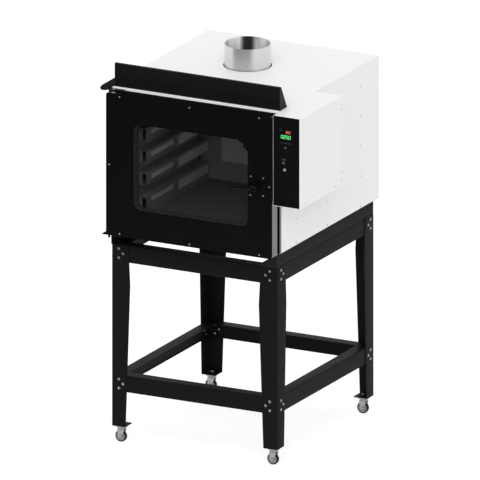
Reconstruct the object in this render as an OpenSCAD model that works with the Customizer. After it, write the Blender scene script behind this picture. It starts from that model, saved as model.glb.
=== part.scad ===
// Gas convection oven on an open stand with swivel casters.
// Millimetres, X to the right, Y to the back, Z up, floor at Z 0.

/* [Stand] */
// Height of the stand's top above the floor
stand_h = 893; // [700:1:1000]
// Sheet thickness of the legs and rails
steel_t = 3; // [2:0.5:4]
// Width of a leg's flanges at the top
leg_top_w = 80; // [70:1:100]
// Width of a leg's flanges at their widest point
leg_mid_w = 89; // [75:1:105]
// Width of a leg's flanges at the foot
leg_foot_w = 67; // [66:1:90]
// Distance of the widest point below the stand's top
leg_mid_drop = 173; // [100:1:300]
// Side of the square foot plate
foot_plate_w = 65; // [56:1:66]
// Thickness of the foot plate
foot_plate_t = 4; // [3:0.5:6]
// Height of a rail
rail_h = 72; // [60:1:100]
// Width of a rail's top flange
rail_flange = 54; // [30:1:70]
// Width of a rail's bottom lip
rail_lip = 14; // [8:1:30]
// Height of the lower rails' underside above the floor
lower_rail_z = 234; // [150:1:400]

/* [Stand bolts] */
// Distance of the outer bolts from the leg's edge
bolt_edge = 35; // [30:1:45]
// Further distance of the middle bolt
bolt_step = 20; // [12:1:24]
// Height between the outer bolts
bolt_pitch = 40; // [30:1:44]
// Diameter of a bolt's shank
bolt_d = 6; // [5:0.5:8]
// Diameter of a bolt's head
bolt_head_d = 11; // [9:0.5:14]
// Height of a bolt's head and of its nut
bolt_head_h = 4; // [3:0.5:6]
// Distance of the bolts of the base rails from the stand's front and back
base_bolt_in = 150; // [120:5:250]

/* [Casters] */
// Height of a caster from the floor to the foot plate
caster_h = 76; // [72:1:90]
// Diameter of a caster's wheel
wheel_d = 52; // [44:1:54]
// Width of a caster's wheel
wheel_w = 16; // [12:1:20]
// Thickness of the tyre
tyre_t = 6; // [4:0.5:8]
// Diameter of the wheel's axle
axle_d = 8; // [6:0.5:10]
// Distance of the axle behind the swivel pin
caster_trail = 3; // [0:0.5:8]
// Diameter of the swivel cup at the foot plate
cup_d = 54; // [46:1:56]
// Diameter of the swivel pin
stem_d = 12; // [10:0.5:14]
// Thickness of the fork's sheet
fork_t = 2.5; // [2:0.25:3]
// Gap between the wheel and each fork cheek
wheel_gap = 1.5; // [1:0.25:3]

/* [Base rails] */
// Height of the rails between the stand and the body
base_rail_h = 67; // [60:1:90]
// Width of a base rail's bottom flange
base_flange = 90; // [60:1:120]
// Width of a base rail's top flange
base_top_flange = 40; // [20:1:60]
// Distance that the base rails stand in front of the stand
base_rail_out = 5; // [0:1:5]

/* [Body] */
// Distance that the body stands out past each side of the stand
body_over = 14; // [0:1:40]
// Distance that the body stands out behind the stand
body_rear_over = 21; // [0:1:40]
// Distance of the body's panels behind the stand's front
body_setback = 14; // [14:1:40]
// Thickness of the body's sheet
panel_t = 1.5; // [1:0.25:2.5]
// Width of the folded edges of the panels
panel_fold = 14; // [10:1:20]
// Depth of the stainless front frame
frame_d = 16; // [12:1:24]
// Thickness of the front frame's sheet
frame_t = 2; // [1.5:0.25:3]

/* [Chamber] */
// Width of the baking chamber
chamber_w = 646; // [600:1:680]
// Depth of the baking chamber
chamber_d = 708; // [680:1:740]
// Height of the chamber's floor above the body's underside
chamber_up = 79; // [70:1:100]
// Thickness of the chamber's sheet
liner_t = 1.5; // [1:0.25:2.5]
// Distance that the front frame reaches in front of the chamber's walls
mouth_lip = 9; // [4:1:14]
// Gap for the flue gas around the chamber
jacket_gap = 15; // [10:1:20]
// Thickness of the insulation
insulation_t = 45; // [30:1:60]
// Gap between the insulation and the body's sides
side_gap = 29.5; // [18:0.5:40]
// Gap between the insulation and the body's top
roof_gap = 21.5; // [10:0.5:40]

/* [Tray racks] */
// Distance between the rack sides
rack_w = 508; // [480:1:530]
// Distance of a rack behind the chamber's mouth
rack_in = 46; // [30:1:60]
// Gap between a rack and the sheet in front of the fan
rack_back_gap = 1; // [0.5:0.5:20]
// Number of tray levels
rack_levels = 4; // [3:1:6]
// Height from one tray level to the next
rack_pitch = 100; // [90:1:120]
// Height of the lowest tray groove above the chamber's floor
rack_first = 78; // [40:1:90]
// Height of the chamber above the highest tray level
rack_top_gap = 2; // [0:1:40]
// Height of a tray groove
groove_h = 46; // [30:1:50]
// Depth of a tray groove
groove_d = 48; // [35:1:52]
// Thickness of the rack's sheet
rack_t = 1.5; // [1:0.25:2]

/* [Fan] */
// Diameter of the fan wheel
fan_d = 280; // [220:1:320]
// Depth of the fan wheel
fan_w = 50; // [36:1:56]
// Number of fan blades
fan_blades = 18; // [8:1:24]
// Diameter of the motor's shaft
shaft_d = 14; // [10:0.5:18]
// Height of the fan's axis above the chamber's middle
fan_rise = 10; // [-10:1:20]
// Gap between the fan wheel and the chamber's back
fan_back_gap = 14; // [8:1:20]
// Gap between the fan wheel and the sheet in front of it
fan_front_gap = 16; // [8:1:24]
// Diameter of the fan motor
motor_d = 120; // [90:1:150]
// Length of the fan motor
motor_l = 130; // [90:1:180]
// Gap between the insulation and the fan motor
motor_gap = 12; // [6:1:30]
// Gap behind the fan motor
rear_gap = 19.5; // [10:0.5:40]
// Width of the guard in front of the fan
guard_w = 380; // [340:1:420]
// Height of the guard's lower edge above the chamber's floor
guard_up = 86; // [60:1:100]
// Thickness of the guard
guard_t = 3; // [1.5:0.5:4]

/* [Gas parts] */
// Diameter of a burner tube
burner_d = 36; // [26:1:44]
// Length of the burner tubes
burner_l = 480; // [380:1:520]
// Distance between the burner tubes
burner_pitch = 200; // [150:1:220]
// Diameter of the gas inlet pipe
inlet_d = 21; // [17:0.5:27]
// Length of the gas inlet behind the back panel
inlet_out = 30; // [25:1:50]

/* [Flue] */
// Outer diameter of the flue collar
flue_d = 200; // [150:1:220]
// Wall of the flue collar
flue_wall = 1; // [0.8:0.1:2]
// Height of the flue collar above the body's top
flue_h = 98; // [60:1:140]
// Gap between the collar and the hole in the top panel
flue_gap = 5; // [2:0.5:8]
// Distance of the flue behind the front of the body's panels
flue_in = 534; // [400:1:580]
// Distance of the flue to the left of the body's middle
flue_left = 24.5; // [0:0.5:60]

/* [Hood bar] */
// Height of the hood bar
hood_h = 105; // [70:1:130]
// Depth of the hood bar at its foot
hood_base = 69; // [50:1:90]
// Depth of the hood bar at its top
hood_top = 13; // [8:1:40]
// Distance of the hood bar from the body's right side
hood_side_in = 4; // [0:1:10]
// Gap between the hood bar and the upper hinge bracket
hood_gap = 3; // [1:0.5:10]
// Distance of the hood bar behind the front frame's face
hood_setback = 9; // [4:1:20]
// Thickness of the hood bar's sheet
hood_t = 2; // [1:0.25:3]

/* [Door] */
// Thickness of the door
door_t = 57; // [45:1:70]
// Gap between the door and the front frame
door_gap = 6; // [5:0.5:9]
// Distance of the door's left edge from the body's left side
door_side_in = 19; // [12:1:24]
// Distance of the door's right edge from the body's right side
door_right_in = 6; // [4:0.5:12]
// Distance that the door reaches below the body
door_drop = 7; // [4:1:9]
// Distance of the door's top below the body's top
door_top_in = 8; // [7:0.5:14]
// Radius of the door's corners
door_r = 12; // [6:1:20]
// Thickness of the door's black front plate
front_plate_t = 4; // [3:0.5:6]
// Thickness of the door frame's sheet
door_sheet_t = 1.5; // [1:0.25:2.5]
// Distance of the window from the door's left edge
window_in = 129; // [110:1:160]
// Distance of the window from the door's right edge
window_right_in = 117; // [115:1:160]
// Distance of the window from the door's lower edge
window_up = 127; // [110:1:160]
// Distance of the window from the door's top
window_down = 125; // [110:1:160]
// Radius of the window's corners
window_r = 40; // [20:1:60]
// Thickness of a glass pane
glass_t = 4; // [3:0.5:6]
// Distance that the glass reaches behind the window's edge
glass_lap = 9; // [6:0.5:9]
// Width of the door seal
seal_w = 13; // [8:1:14]

/* [Hinges] */
// Distance of the hinge pin to the left of the door
pin_out = 7; // [7:0.5:9]
// Distance of the hinge pin in front of the front frame
pin_front = 18; // [17:0.5:20]
// Diameter of the hinge pins
pin_d = 10; // [8:0.5:12]
// Thickness of the hinge ears on the door
ear_t = 5; // [3:0.5:6]
// Length of a hinge ear from the pin to the right
ear_l = 75; // [50:1:100]
// Width of a hinge ear
ear_w = 22; // [18:1:22]
// Thickness of the hinge brackets
bracket_t = 4; // [3:0.5:6]
// Distance that the upper bracket reaches to the right of the pin
bracket_in = 9; // [8:0.5:14]
// Length of the upper hinge bracket
bracket_l = 268; // [180:1:320]
// Distance that the upper bracket reaches in front of the pin
bracket_front = 48; // [24:1:52]
// Distance of the upper bracket's outer edge from the pin
bracket_out = 40; // [24:1:44]
// Height of the brackets' upright legs
bracket_leg = 40; // [30:1:50]

/* [Handle] */
// Distance of the handle's spindle from the door's right edge
handle_in = 72; // [66:1:78]
// Distance of the spindle above the door's lower edge
handle_up = 319; // [250:1:400]
// Length of the lever from the spindle to its tip
lever_l = 139; // [100:1:160]
// Thickness of the lever from front to back
lever_t = 12; // [8:1:18]
// Width of the lever at its tip
lever_tip_w = 13; // [10:1:20]
// Diameter of the handle's boss
boss_d = 32; // [26:1:36]
// Gap for the fingers behind the lever
lever_gap = 22; // [15:1:35]
// Diameter of the spindle
spindle_d = 10; // [8:0.5:12]
// Length of the latch tongue
tongue_l = 30; // [20:1:34]
// Width of the latch tongue
tongue_w = 10; // [8:0.5:12]
// Thickness of the latch tongue
tongue_t = 6; // [4:0.5:8]

/* [Control box] */
// Width of the control box
box_w = 130; // [110:1:160]
// Depth of the control box
box_d = 400; // [330:1:450]
// Height of the control box
box_h = 405; // [360:1:480]
// Width of the box's folded edge at the right of the control panel
box_edge = 6.5; // [4:0.5:10]
// Thickness of the control panel
control_t = 3; // [2:0.5:5]
// Distance of the display's middle below the box's top
display_down = 80; // [60:1:100]
// Width of the display window
display_w = 62; // [50:1:80]
// Height of the display window
display_h = 50; // [36:1:60]
// Distance of the round button below the box's top
start_down = 137; // [120:1:145]
// Distance of the rocker switch below the box's top
switch_down = 198; // [180:1:205]
// Distance of the push button below the box's top
push_down = 236; // [228:1:260]
// Diameter of the round button
start_d = 10; // [8:0.5:14]
// Diameter of the push button
push_d = 13; // [10:0.5:16]
// Travel of the buttons
button_travel = 2; // [1:0.25:3]
// Width of the rocker switch
rocker_w = 20; // [14:1:24]
// Height of the rocker switch
rocker_h = 28; // [20:1:32]

/* [Screws] */
// Diameter of a panel screw's head
screw_head_d = 8; // [6:0.5:10]
// Height of a panel screw's head
screw_head_h = 1.6; // [1:0.2:2.5]
// Diameter of a panel screw's shank
screw_d = 3.5; // [3:0.25:4]
// Length of a panel screw's shank
screw_l = 8; // [6:0.5:10]

/* [Hidden] */

$fn = 48;
// Clearance between sheets that butt, and under moving parts
slip = 0.3;
// Radial clearance of a pin or a shaft in its bore
running = 0.05;

// Sizes that follow from the tray levels and from what lies around the chamber
chamber_h = rack_first + rack_levels * rack_pitch + rack_top_gap;
jacket_out = liner_t + jacket_gap;
insulation_out = jacket_out + insulation_t;
body_w = chamber_w + 2 * (insulation_out + side_gap);
body_h = chamber_up + chamber_h + insulation_out + roof_gap;
body_d = frame_t + chamber_d + insulation_out + motor_gap + motor_l + rear_gap
    - frame_d;
stand_w = body_w - 2 * body_over;
stand_d = body_setback + body_d - body_rear_over;
door_w = body_w - door_side_in - door_right_in;
door_h = body_h + door_drop - door_top_in;
window_w = door_w - window_in - window_right_in;
window_h = door_h - window_up - window_down;

// Stand
reach_left = bracket_out + pin_out - door_side_in + body_over;
reach_right = body_over + box_w + screw_head_h;
stand_left = -(reach_left + stand_w + reach_right) / 2 + reach_left;
stand_right = stand_left + stand_w;
door_out = frame_d - body_setback + door_gap + door_t;
reach_front = door_out + slip + lever_gap + lever_t;
reach_back = body_rear_over + inlet_out;
stand_front = -(reach_front + stand_d + reach_back) / 2 + reach_front;
stand_back = stand_front + stand_d;
upper_rail_z = stand_h - rail_h;

// Casters
axle_z = wheel_d / 2;
fork_top_z = caster_h - 16.5;
fork_base_z = fork_top_z - fork_t;
corners = [[-1, -1], [1, -1], [-1, 1], [1, 1]];

// Body
body_bottom = stand_h + base_rail_h;
body_top = body_bottom + body_h;
body_left = stand_left - body_over;
body_right = stand_right + body_over;
body_front = stand_front + body_setback;
body_back = body_front + body_d;
body_mid = (body_left + body_right) / 2;
frame_face = body_front - frame_d;

// Chamber
chamber_left = body_mid - chamber_w / 2;
chamber_right = body_mid + chamber_w / 2;
chamber_floor = body_bottom + chamber_up;
chamber_top = chamber_floor + chamber_h;
chamber_front = frame_face + frame_t;
chamber_back = chamber_front + chamber_d;

// Fan
fan_z = chamber_floor + chamber_h / 2 + fan_rise;
fan_back = chamber_back - fan_back_gap;
fan_front = fan_back - fan_w;
baffle_y = fan_front - fan_front_gap;
baffle_side = 30;
baffle_fold = fan_front_gap - 2;
motor_front = chamber_back + insulation_out + motor_gap;
shaft_in = 40;
inlet_hole_d = fan_d - 60;

// Tray racks
rack_front = frame_face + rack_in;
rack_back = baffle_y - rack_back_gap;
rack_d = rack_back - rack_front;
rack_reach = (chamber_w - rack_w) / 2;

// Gas parts
burner_z = body_bottom + burner_d / 2 + 20;
burner_front = body_front + 90;
burner_wall = 2;
bar_t = 20;
bar_in = 40;
manifold_d = 22;
manifold_y = burner_front + burner_l + bar_t;
pipe_d = 14;
pipe_end = 12;
valve_w = 70;
valve_x = body_right - 120;
valve_z = burner_z + 20;
valve_low = valve_z - 26;
valve_high = valve_z + 34;
valve_back = body_back - 35;
valve_front = valve_back - valve_w;
valve_y = (valve_front + valve_back) / 2;
knob_d = 34;
knob_h = 18;
lock_nut_t = 7;
inlet_step = 3;
inlet_core_d = inlet_d - inlet_step;
power_x = body_left + 140;
power_z = body_bottom + 90;

// Flue
flue_x = body_mid - flue_left;
flue_y = body_front + flue_in;

// Hood bar
hood_right = body_right - hood_side_in;
hood_left = body_left + door_side_in - pin_out + bracket_in + hood_gap;
hood_w = hood_right - hood_left;
hood_front = frame_face + hood_setback;

// Door
door_left = body_left + door_side_in;
door_right = door_left + door_w;
door_bottom = body_bottom - door_drop;
door_top = door_bottom + door_h;
door_back = frame_face - door_gap;
door_front = door_back - door_t;
plate_back = door_front + front_plate_t;
window_left = door_left + window_in;
window_bottom = door_bottom + window_up;
collar_out = glass_lap + 0.5;
door_flange = 26;

// Hinges
pin_x = door_left - pin_out;
pin_y = frame_face - pin_front;
bracket_w = bracket_out + bracket_in;

// Handle
handle_x = door_right - handle_in;
handle_z = door_bottom + handle_up;
tongue_y = frame_face + frame_t + 2;
latch_dx = 30;
latch_dz = 42;

// Control box
box_left = body_right;
box_right = box_left + box_w;
box_front = door_front;
box_top = body_top;
box_bottom = box_top - box_h;
box_back = box_front + box_d;
control_mid = box_left + box_w / 2;
control_back = box_front + control_t;
display_x = control_mid - 2;
display_z = box_top - display_down;
start_x = control_mid - 4;
start_z = box_top - start_down;
switch_x = control_mid - 12;
switch_z = box_top - switch_down;
push_x = control_mid - 8;
push_z = box_top - push_down;
bezel_r = 18;
cap_out = 4;

// Distances of the side screws from the body's back, underside and top
side_screw_back = 175;
side_screw_mid = side_screw_back + 312;
side_screw_front = side_screw_mid + 286;
side_screw_low = panel_t + 9.5;
side_screw_second = side_screw_low + 106;
side_screw_high = body_h - 91;
// Places of the screws on the body's sides, as [distance from the back, height]
side_screws = [
    for (z = [0:4])
        [side_screw_back,
         side_screw_low + z * (side_screw_high - side_screw_low) / 4],
    for (y = [side_screw_mid, side_screw_front],
         z = [side_screw_low, side_screw_second])
        [y, z]];
// Distances of the box screws from the box's back and underside
box_screw_in = 12;
// Places of the screws on the control box, as [distance from its back, height]
box_screws = [
    [box_screw_in, box_h - 59], [box_screw_in, 63], [box_screw_in, 31],
    [68, box_screw_in + 1], [box_d - 54, box_screw_in + 1]];
// Distances of the door's face screws from its edges and its left side
door_screw_in = 13;
door_screw_end = 64;
door_screw_x = [door_screw_end + 2, door_w / 2 + 2.5,
                door_w - door_screw_end + 2.5];

// A block from one corner to the opposite one
module block(a, b) {
    translate(a) cube(b - a);
}

// A round bar along Y
module bar_y(x, y0, y1, z, d) {
    translate([x, y0, z]) rotate([-90, 0, 0]) cylinder(d = d, h = y1 - y0);
}

// A round bar along X
module bar_x(x0, x1, y, z, d) {
    translate([x0, y, z]) rotate([0, 90, 0]) cylinder(d = d, h = x1 - x0);
}

// A round bar along Z
module bar_z(x, y, z0, z1, d) {
    translate([x, y, z0]) cylinder(d = d, h = z1 - z0);
}

// A rectangle with round corners
module round_rect(w, h, r) {
    translate([r, 0]) square([w - 2 * r, h]);
    translate([0, r]) square([w, h - 2 * r]);
    for (x = [r, w - r], y = [r, h - r]) translate([x, y]) circle(r);
}

// A plate that faces the front, with round corners
module front_slab(x, z, w, h, r, y0, y1) {
    translate([x, y1, z]) rotate([90, 0, 0])
        linear_extrude(y1 - y0) round_rect(w, h, r);
}

// Moves a child drawn for the front left corner to one of the corners
module at_corner(c) {
    translate([c[0] < 0 ? stand_left : stand_right,
               c[1] < 0 ? stand_front : stand_back, 0])
        mirror([c[0] < 0 ? 0 : 1, 0, 0]) mirror([0, c[1] < 0 ? 0 : 1, 0])
        children();
}

// Middle of the caster at a corner
function caster_x(c) = c[0] < 0 ? stand_left + foot_plate_w / 2
                                : stand_right - foot_plate_w / 2;
function caster_y(c) = c[1] < 0 ? stand_front + foot_plate_w / 2
                                : stand_back - foot_plate_w / 2;

// Bolt places at one joint of a leg and a rail, as [from the edge, height]
bolt_places = [
    [bolt_edge, (rail_h - bolt_pitch) / 2],
    [bolt_edge + bolt_step, rail_h / 2],
    [bolt_edge, (rail_h + bolt_pitch) / 2]];

// Child 0 is drawn at each bolt of one corner, along +Y from the outer face
module at_corner_bolts() {
    for (z = [lower_rail_z, upper_rail_z], p = bolt_places) {
        translate([p[0], 0, z + p[1]]) children();
        mirror([1, -1, 0]) translate([p[0], 0, z + p[1]]) children();
    }
}

module bolt_hole() {
    translate([0, -1, 0]) rotate([-90, 0, 0])
        cylinder(d = bolt_d + 2 * slip, h = 2 * steel_t + 2);
}

// Outline of a leg's flange, tapered to the foot
module leg_flange() {
    linear_extrude(steel_t) polygon([
        [0, caster_h], [leg_foot_w, caster_h],
        [leg_mid_w, stand_h - leg_mid_drop],
        [leg_top_w, stand_h], [0, stand_h]]);
}

module leg(c) {
    color([0.11, 0.11, 0.11]) at_corner(c) difference() {
        union() {
            translate([0, steel_t, 0]) rotate([90, 0, 0]) leg_flange();
            rotate([90, 0, 90]) leg_flange();
            block([0, 0, caster_h],
                  [foot_plate_w, foot_plate_w, caster_h + foot_plate_t]);
        }
        at_corner_bolts() bolt_hole();
        bar_z(foot_plate_w / 2, foot_plate_w / 2, caster_h - 1,
              caster_h + foot_plate_t + 1, stem_d + 2 * slip);
    }
}

// A rail of the stand along X, with its outer face at Y 0
module rail(l, flange_cut, lip_cut) {
    block([0, 0, 0], [l, steel_t, rail_h]);
    block([flange_cut, 0, rail_h - steel_t],
          [l - flange_cut, rail_flange, rail_h]);
    block([lip_cut, 0, 0], [l - lip_cut, rail_lip, steel_t]);
}

// The four rails at one height
module rail_ring(z) {
    side_cut = steel_t + slip;
    for (m = [0, 1]) mirror([0, m, 0]) {
        y = m == 0 ? stand_front + steel_t : -stand_back + steel_t;
        translate([stand_left + steel_t, y, z])
            rail(stand_w - 2 * steel_t, 0, 0);
    }
    for (m = [0, 1]) mirror([m, 0, 0]) {
        x = m == 0 ? stand_left + steel_t : -stand_right + steel_t;
        translate([x, stand_front + steel_t + side_cut, z])
            mirror([1, -1, 0])
            rail(stand_d - 2 * (steel_t + side_cut),
                 rail_flange + slip - side_cut, rail_lip + slip - side_cut);
    }
}

module rails(z) {
    color([0.12, 0.12, 0.12]) difference() {
        rail_ring(z);
        for (c = corners) at_corner(c) at_corner_bolts() bolt_hole();
        if (z == upper_rail_z) base_bolt_holes();
    }
}

// Holes for the bolts that hold the base rails down
module base_bolt_holes() {
    for (p = base_bolt_places)
        bar_z(p[0], p[1], stand_h - steel_t - 1, stand_h + steel_t + 1,
              bolt_d + 2 * slip);
}

base_bolt_places = [
    for (x = [stand_left + rail_flange / 2, stand_right - rail_flange / 2],
         y = [stand_front + base_bolt_in, stand_back - base_bolt_in])
        [x, y]];

// A bolt along +Y through two sheets, with its nut
module rail_bolt() {
    rotate([-90, 0, 0]) union() {
        translate([0, 0, -bolt_head_h])
            cylinder(d = bolt_head_d, h = bolt_head_h, $fn = 6);
        translate([0, 0, -bolt_head_h])
            cylinder(d = bolt_d, h = bolt_head_h + 2 * steel_t + bolt_head_h);
        translate([0, 0, 2 * steel_t])
            cylinder(d = bolt_head_d, h = bolt_head_h - 1, $fn = 6);
    }
}

module stand_bolts() {
    color([0.72, 0.7, 0.62]) {
        for (c = corners) at_corner(c) at_corner_bolts() rail_bolt();
        for (p = base_bolt_places)
            translate([p[0], p[1], stand_h + steel_t])
                rotate([-90, 0, 0]) rail_bolt();
    }
}

// Swivel pin, rivet head, cup and nut of each caster
module caster_stems() {
    color([0.66, 0.67, 0.68]) for (c = corners)
        translate([caster_x(c), caster_y(c), 0]) {
            rotate_extrude() polygon([
                [0, fork_base_z - slip - 2],
                [stem_d / 2 + 3, fork_base_z - slip - 2],
                [stem_d / 2 + 3, fork_base_z - slip],
                [stem_d / 2, fork_base_z - slip],
                [stem_d / 2, fork_top_z + slip],
                [cup_d / 2 - 9, fork_top_z + slip],
                [cup_d / 2, caster_h - 7], [cup_d / 2, caster_h],
                [stem_d / 2, caster_h],
                [stem_d / 2, caster_h + foot_plate_t + 10],
                [0, caster_h + foot_plate_t + 10]]);
            translate([0, 0, caster_h + foot_plate_t]) difference() {
                cylinder(d = stem_d + 8, h = 7, $fn = 6);
                translate([0, 0, -1])
                    cylinder(d = stem_d + 2 * running, h = 9);
            }
        }
}

// Profile of a fork cheek in X and Z, narrow at the axle
module cheek_outline() {
    half_top = cup_d / 2 - 9;
    translate([-caster_trail, axle_z]) circle(axle_d / 2 + 5);
    polygon([
        [-caster_trail - axle_d / 2 - 5, axle_z],
        [-caster_trail + axle_d / 2 + 5, axle_z],
        [half_top, fork_base_z + fork_t / 2],
        [-half_top, fork_base_z + fork_t / 2]]);
}

module caster_fork(c) {
    inner = wheel_w / 2 + wheel_gap;
    outer = inner + fork_t;
    color([0.68, 0.69, 0.7]) translate([caster_x(c), caster_y(c), 0])
        union() {
            difference() {
                bar_z(0, 0, fork_base_z, fork_top_z, cup_d - 18);
                bar_z(0, 0, fork_base_z - 1, fork_top_z + 1,
                      stem_d + 2 * running);
            }
            for (y = [inner, -outer])
                intersection() {
                    translate([0, y + fork_t, 0]) rotate([90, 0, 0])
                        linear_extrude(fork_t) cheek_outline();
                    block([-cup_d, -cup_d, 0], [cup_d, cup_d, fork_top_z]);
                }
            bar_y(-caster_trail, -outer - 3, outer + 3, axle_z, axle_d);
            for (y = [-outer - 3, outer])
                bar_y(-caster_trail, y, y + 3, axle_z, axle_d + 4);
        }
}

module caster_wheel(c) {
    rim = wheel_d / 2 - tyre_t;
    hub = axle_d / 2 + 4;
    color([0.62, 0.63, 0.64])
        translate([caster_x(c) - caster_trail, caster_y(c), axle_z])
        rotate([90, 0, 0]) rotate_extrude() polygon([
            [axle_d / 2 + running, -wheel_w / 2], [hub, -wheel_w / 2],
            [hub, -wheel_w / 2 + 3], [rim - 3, -wheel_w / 2 + 3],
            [rim - 3, -wheel_w / 2 + 1], [rim, -wheel_w / 2 + 1],
            [rim, wheel_w / 2 - 1], [rim - 3, wheel_w / 2 - 1],
            [rim - 3, wheel_w / 2 - 3], [hub, wheel_w / 2 - 3],
            [hub, wheel_w / 2], [axle_d / 2 + running, wheel_w / 2]]);
}

module caster_tyre(c) {
    rim = wheel_d / 2 - tyre_t;
    color([0.2, 0.2, 0.21])
        translate([caster_x(c) - caster_trail, caster_y(c), axle_z])
        rotate([90, 0, 0]) rotate_extrude() polygon([
            [rim, -wheel_w / 2], [wheel_d / 2 - 3, -wheel_w / 2],
            [wheel_d / 2, -wheel_w / 2 + 3], [wheel_d / 2, wheel_w / 2 - 3],
            [wheel_d / 2 - 3, wheel_w / 2], [rim, wheel_w / 2]]);
}

// A channel between the stand and the body, for the left side
module base_rail_shape() {
    y0 = stand_front - base_rail_out;
    y1 = stand_back - base_rail_out;
    block([stand_left, y0, stand_h], [stand_left + steel_t, y1, body_bottom]);
    block([stand_left, y0, stand_h],
          [stand_left + base_flange, y1, stand_h + steel_t]);
    block([stand_left, y0, body_bottom - steel_t],
          [stand_left + base_top_flange, y1, body_bottom]);
}

module base_rail(side) {
    color([0.11, 0.11, 0.11]) difference() {
        if (side < 0) base_rail_shape();
        else translate([stand_left + stand_right, 0, 0])
            mirror([1, 0, 0]) base_rail_shape();
        base_bolt_holes();
    }
}

// Holes of the screws along X through one side of the body
module side_screw_holes(x) {
    for (s = side_screws)
        bar_x(x - screw_l, x + screw_l, body_back - s[0], body_bottom + s[1],
              screw_d + 2 * running);
}

// A side of the body, a sheet with folded edges, for the left side
module side_panel_shape() {
    z0 = body_bottom + panel_t;
    z1 = body_top - panel_t;
    block([body_left, body_front, z0], [body_left + panel_t, body_back, z1]);
    block([body_left, body_front, z0],
          [body_left + panel_fold, body_back - panel_t, z0 + panel_t]);
    block([body_left, body_front, z1 - panel_t],
          [body_left + panel_fold, body_back - panel_t, z1]);
    block([body_left, body_back - 2 * panel_t, z0],
          [body_left + panel_fold, body_back - panel_t, z1]);
}

module side_panel(side) {
    color([0.93, 0.93, 0.92]) difference() {
        if (side < 0) side_panel_shape();
        else translate([body_left + body_right, 0, 0])
            mirror([1, 0, 0]) side_panel_shape();
        side_screw_holes(side < 0 ? body_left : body_right);
    }
}

module top_panel() {
    color([0.96, 0.96, 0.95]) difference() {
        block([body_left, body_front, body_top - panel_t],
              [body_right, body_back, body_top]);
        bar_z(flue_x, flue_y, body_top - panel_t - 1, body_top + 1,
              flue_d + 2 * flue_gap);
    }
}

// Back of the body, with cooling slots, the gas inlet and the power inlet
module back_panel() {
    slot_w = 90;
    slot_h = 5;
    color([0.9, 0.9, 0.89]) difference() {
        block([body_left + panel_t, body_back - panel_t, body_bottom + panel_t],
              [body_right - panel_t, body_back, body_top - panel_t]);
        for (x = [-1, 0, 1], z = [0:7])
            translate([body_mid + x * (slot_w + 20) - slot_w / 2,
                       body_back - panel_t - 1, fan_z - 50 + z * 14])
                cube([slot_w, panel_t + 2, slot_h]);
        bar_y(valve_x, body_back - panel_t - 1, body_back + 1, valve_z,
              inlet_core_d + 2 * slip);
        block([power_x - 14 - slip, body_back - panel_t - 1,
               power_z - 11 - slip],
              [power_x + 14 + slip, body_back + 1, power_z + 11 + slip]);
    }
}

// Underside of the body, with slots that let air to the burners
module base_panel() {
    slot_l = 70;
    slot_w = 10;
    column = burner_pitch * 0.55;
    row = burner_l / 11.5;
    color([0.75, 0.75, 0.75]) difference() {
        block([body_left, body_front, body_bottom],
              [body_right, body_back, body_bottom + panel_t]);
        for (x = [-1.5, -0.5, 0.5, 1.5], y = [0:9])
            translate([body_mid + x * column - slot_l / 2,
                       burner_front + 30 + y * row, body_bottom - 1])
                cube([slot_l, slot_w, panel_t + 2]);
    }
}

// Stainless ring that the door closes on, with a keyhole for the latch
module front_frame() {
    lip = mouth_lip;
    color([0.66, 0.66, 0.67]) difference() {
        block([body_left, frame_face, body_bottom],
              [body_right, body_front, body_top]);
        block([body_left + frame_t, frame_face + frame_t,
               body_bottom + frame_t],
              [body_right - frame_t, body_front + 1, body_top - frame_t]);
        block([chamber_left + lip, frame_face - 1, chamber_floor + lip - 3],
              [chamber_right - lip, body_front + 1, chamber_top - lip + 3]);
        bar_y(handle_x, frame_face - 1, frame_face + frame_t + 1, handle_z,
              spindle_d + 8);
        block([handle_x, frame_face - 1, handle_z - tongue_w / 2 - 2],
              [handle_x + tongue_l + 3, frame_face + frame_t + 1,
               handle_z + tongue_w / 2 + 2]);
    }
}

// Baking chamber, open at the front, on two rear feet
module chamber() {
    color([0.6, 0.6, 0.6]) difference() {
        union() {
            block([chamber_left - liner_t, chamber_front,
                   chamber_floor - liner_t],
                  [chamber_right + liner_t, chamber_back + liner_t,
                   chamber_top + liner_t]);
            for (x = [chamber_left + 40, chamber_right - 70])
                block([x, chamber_back - 60, body_bottom + panel_t],
                      [x + 30, chamber_back - 58, chamber_floor]);
        }
        block([chamber_left, chamber_front - 1, chamber_floor],
              [chamber_right, chamber_back, chamber_top]);
        bar_y(body_mid, chamber_back - 1, chamber_back + liner_t + 1, fan_z,
              shaft_d + 6);
    }
}

// Blanket over the sides, the top and the back of the chamber
module insulation() {
    y0 = body_front + 6;
    y1 = chamber_back + insulation_out;
    color([0.86, 0.82, 0.7]) difference() {
        block([chamber_left - insulation_out, y0, body_bottom + panel_t],
              [chamber_right + insulation_out, y1,
               chamber_top + insulation_out]);
        block([chamber_left - jacket_out, y0 - 1, body_bottom],
              [chamber_right + jacket_out, chamber_back + jacket_out,
               chamber_top + jacket_out]);
        bar_z(flue_x, flue_y, chamber_top, chamber_top + insulation_out + 1,
              flue_d + 2);
        bar_y(body_mid, chamber_back, y1 + 1, fan_z, shaft_d + 20);
        bar_y(body_mid + burner_pitch, chamber_back, y1 + 1, burner_z,
              pipe_d + 16);
    }
}

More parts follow.
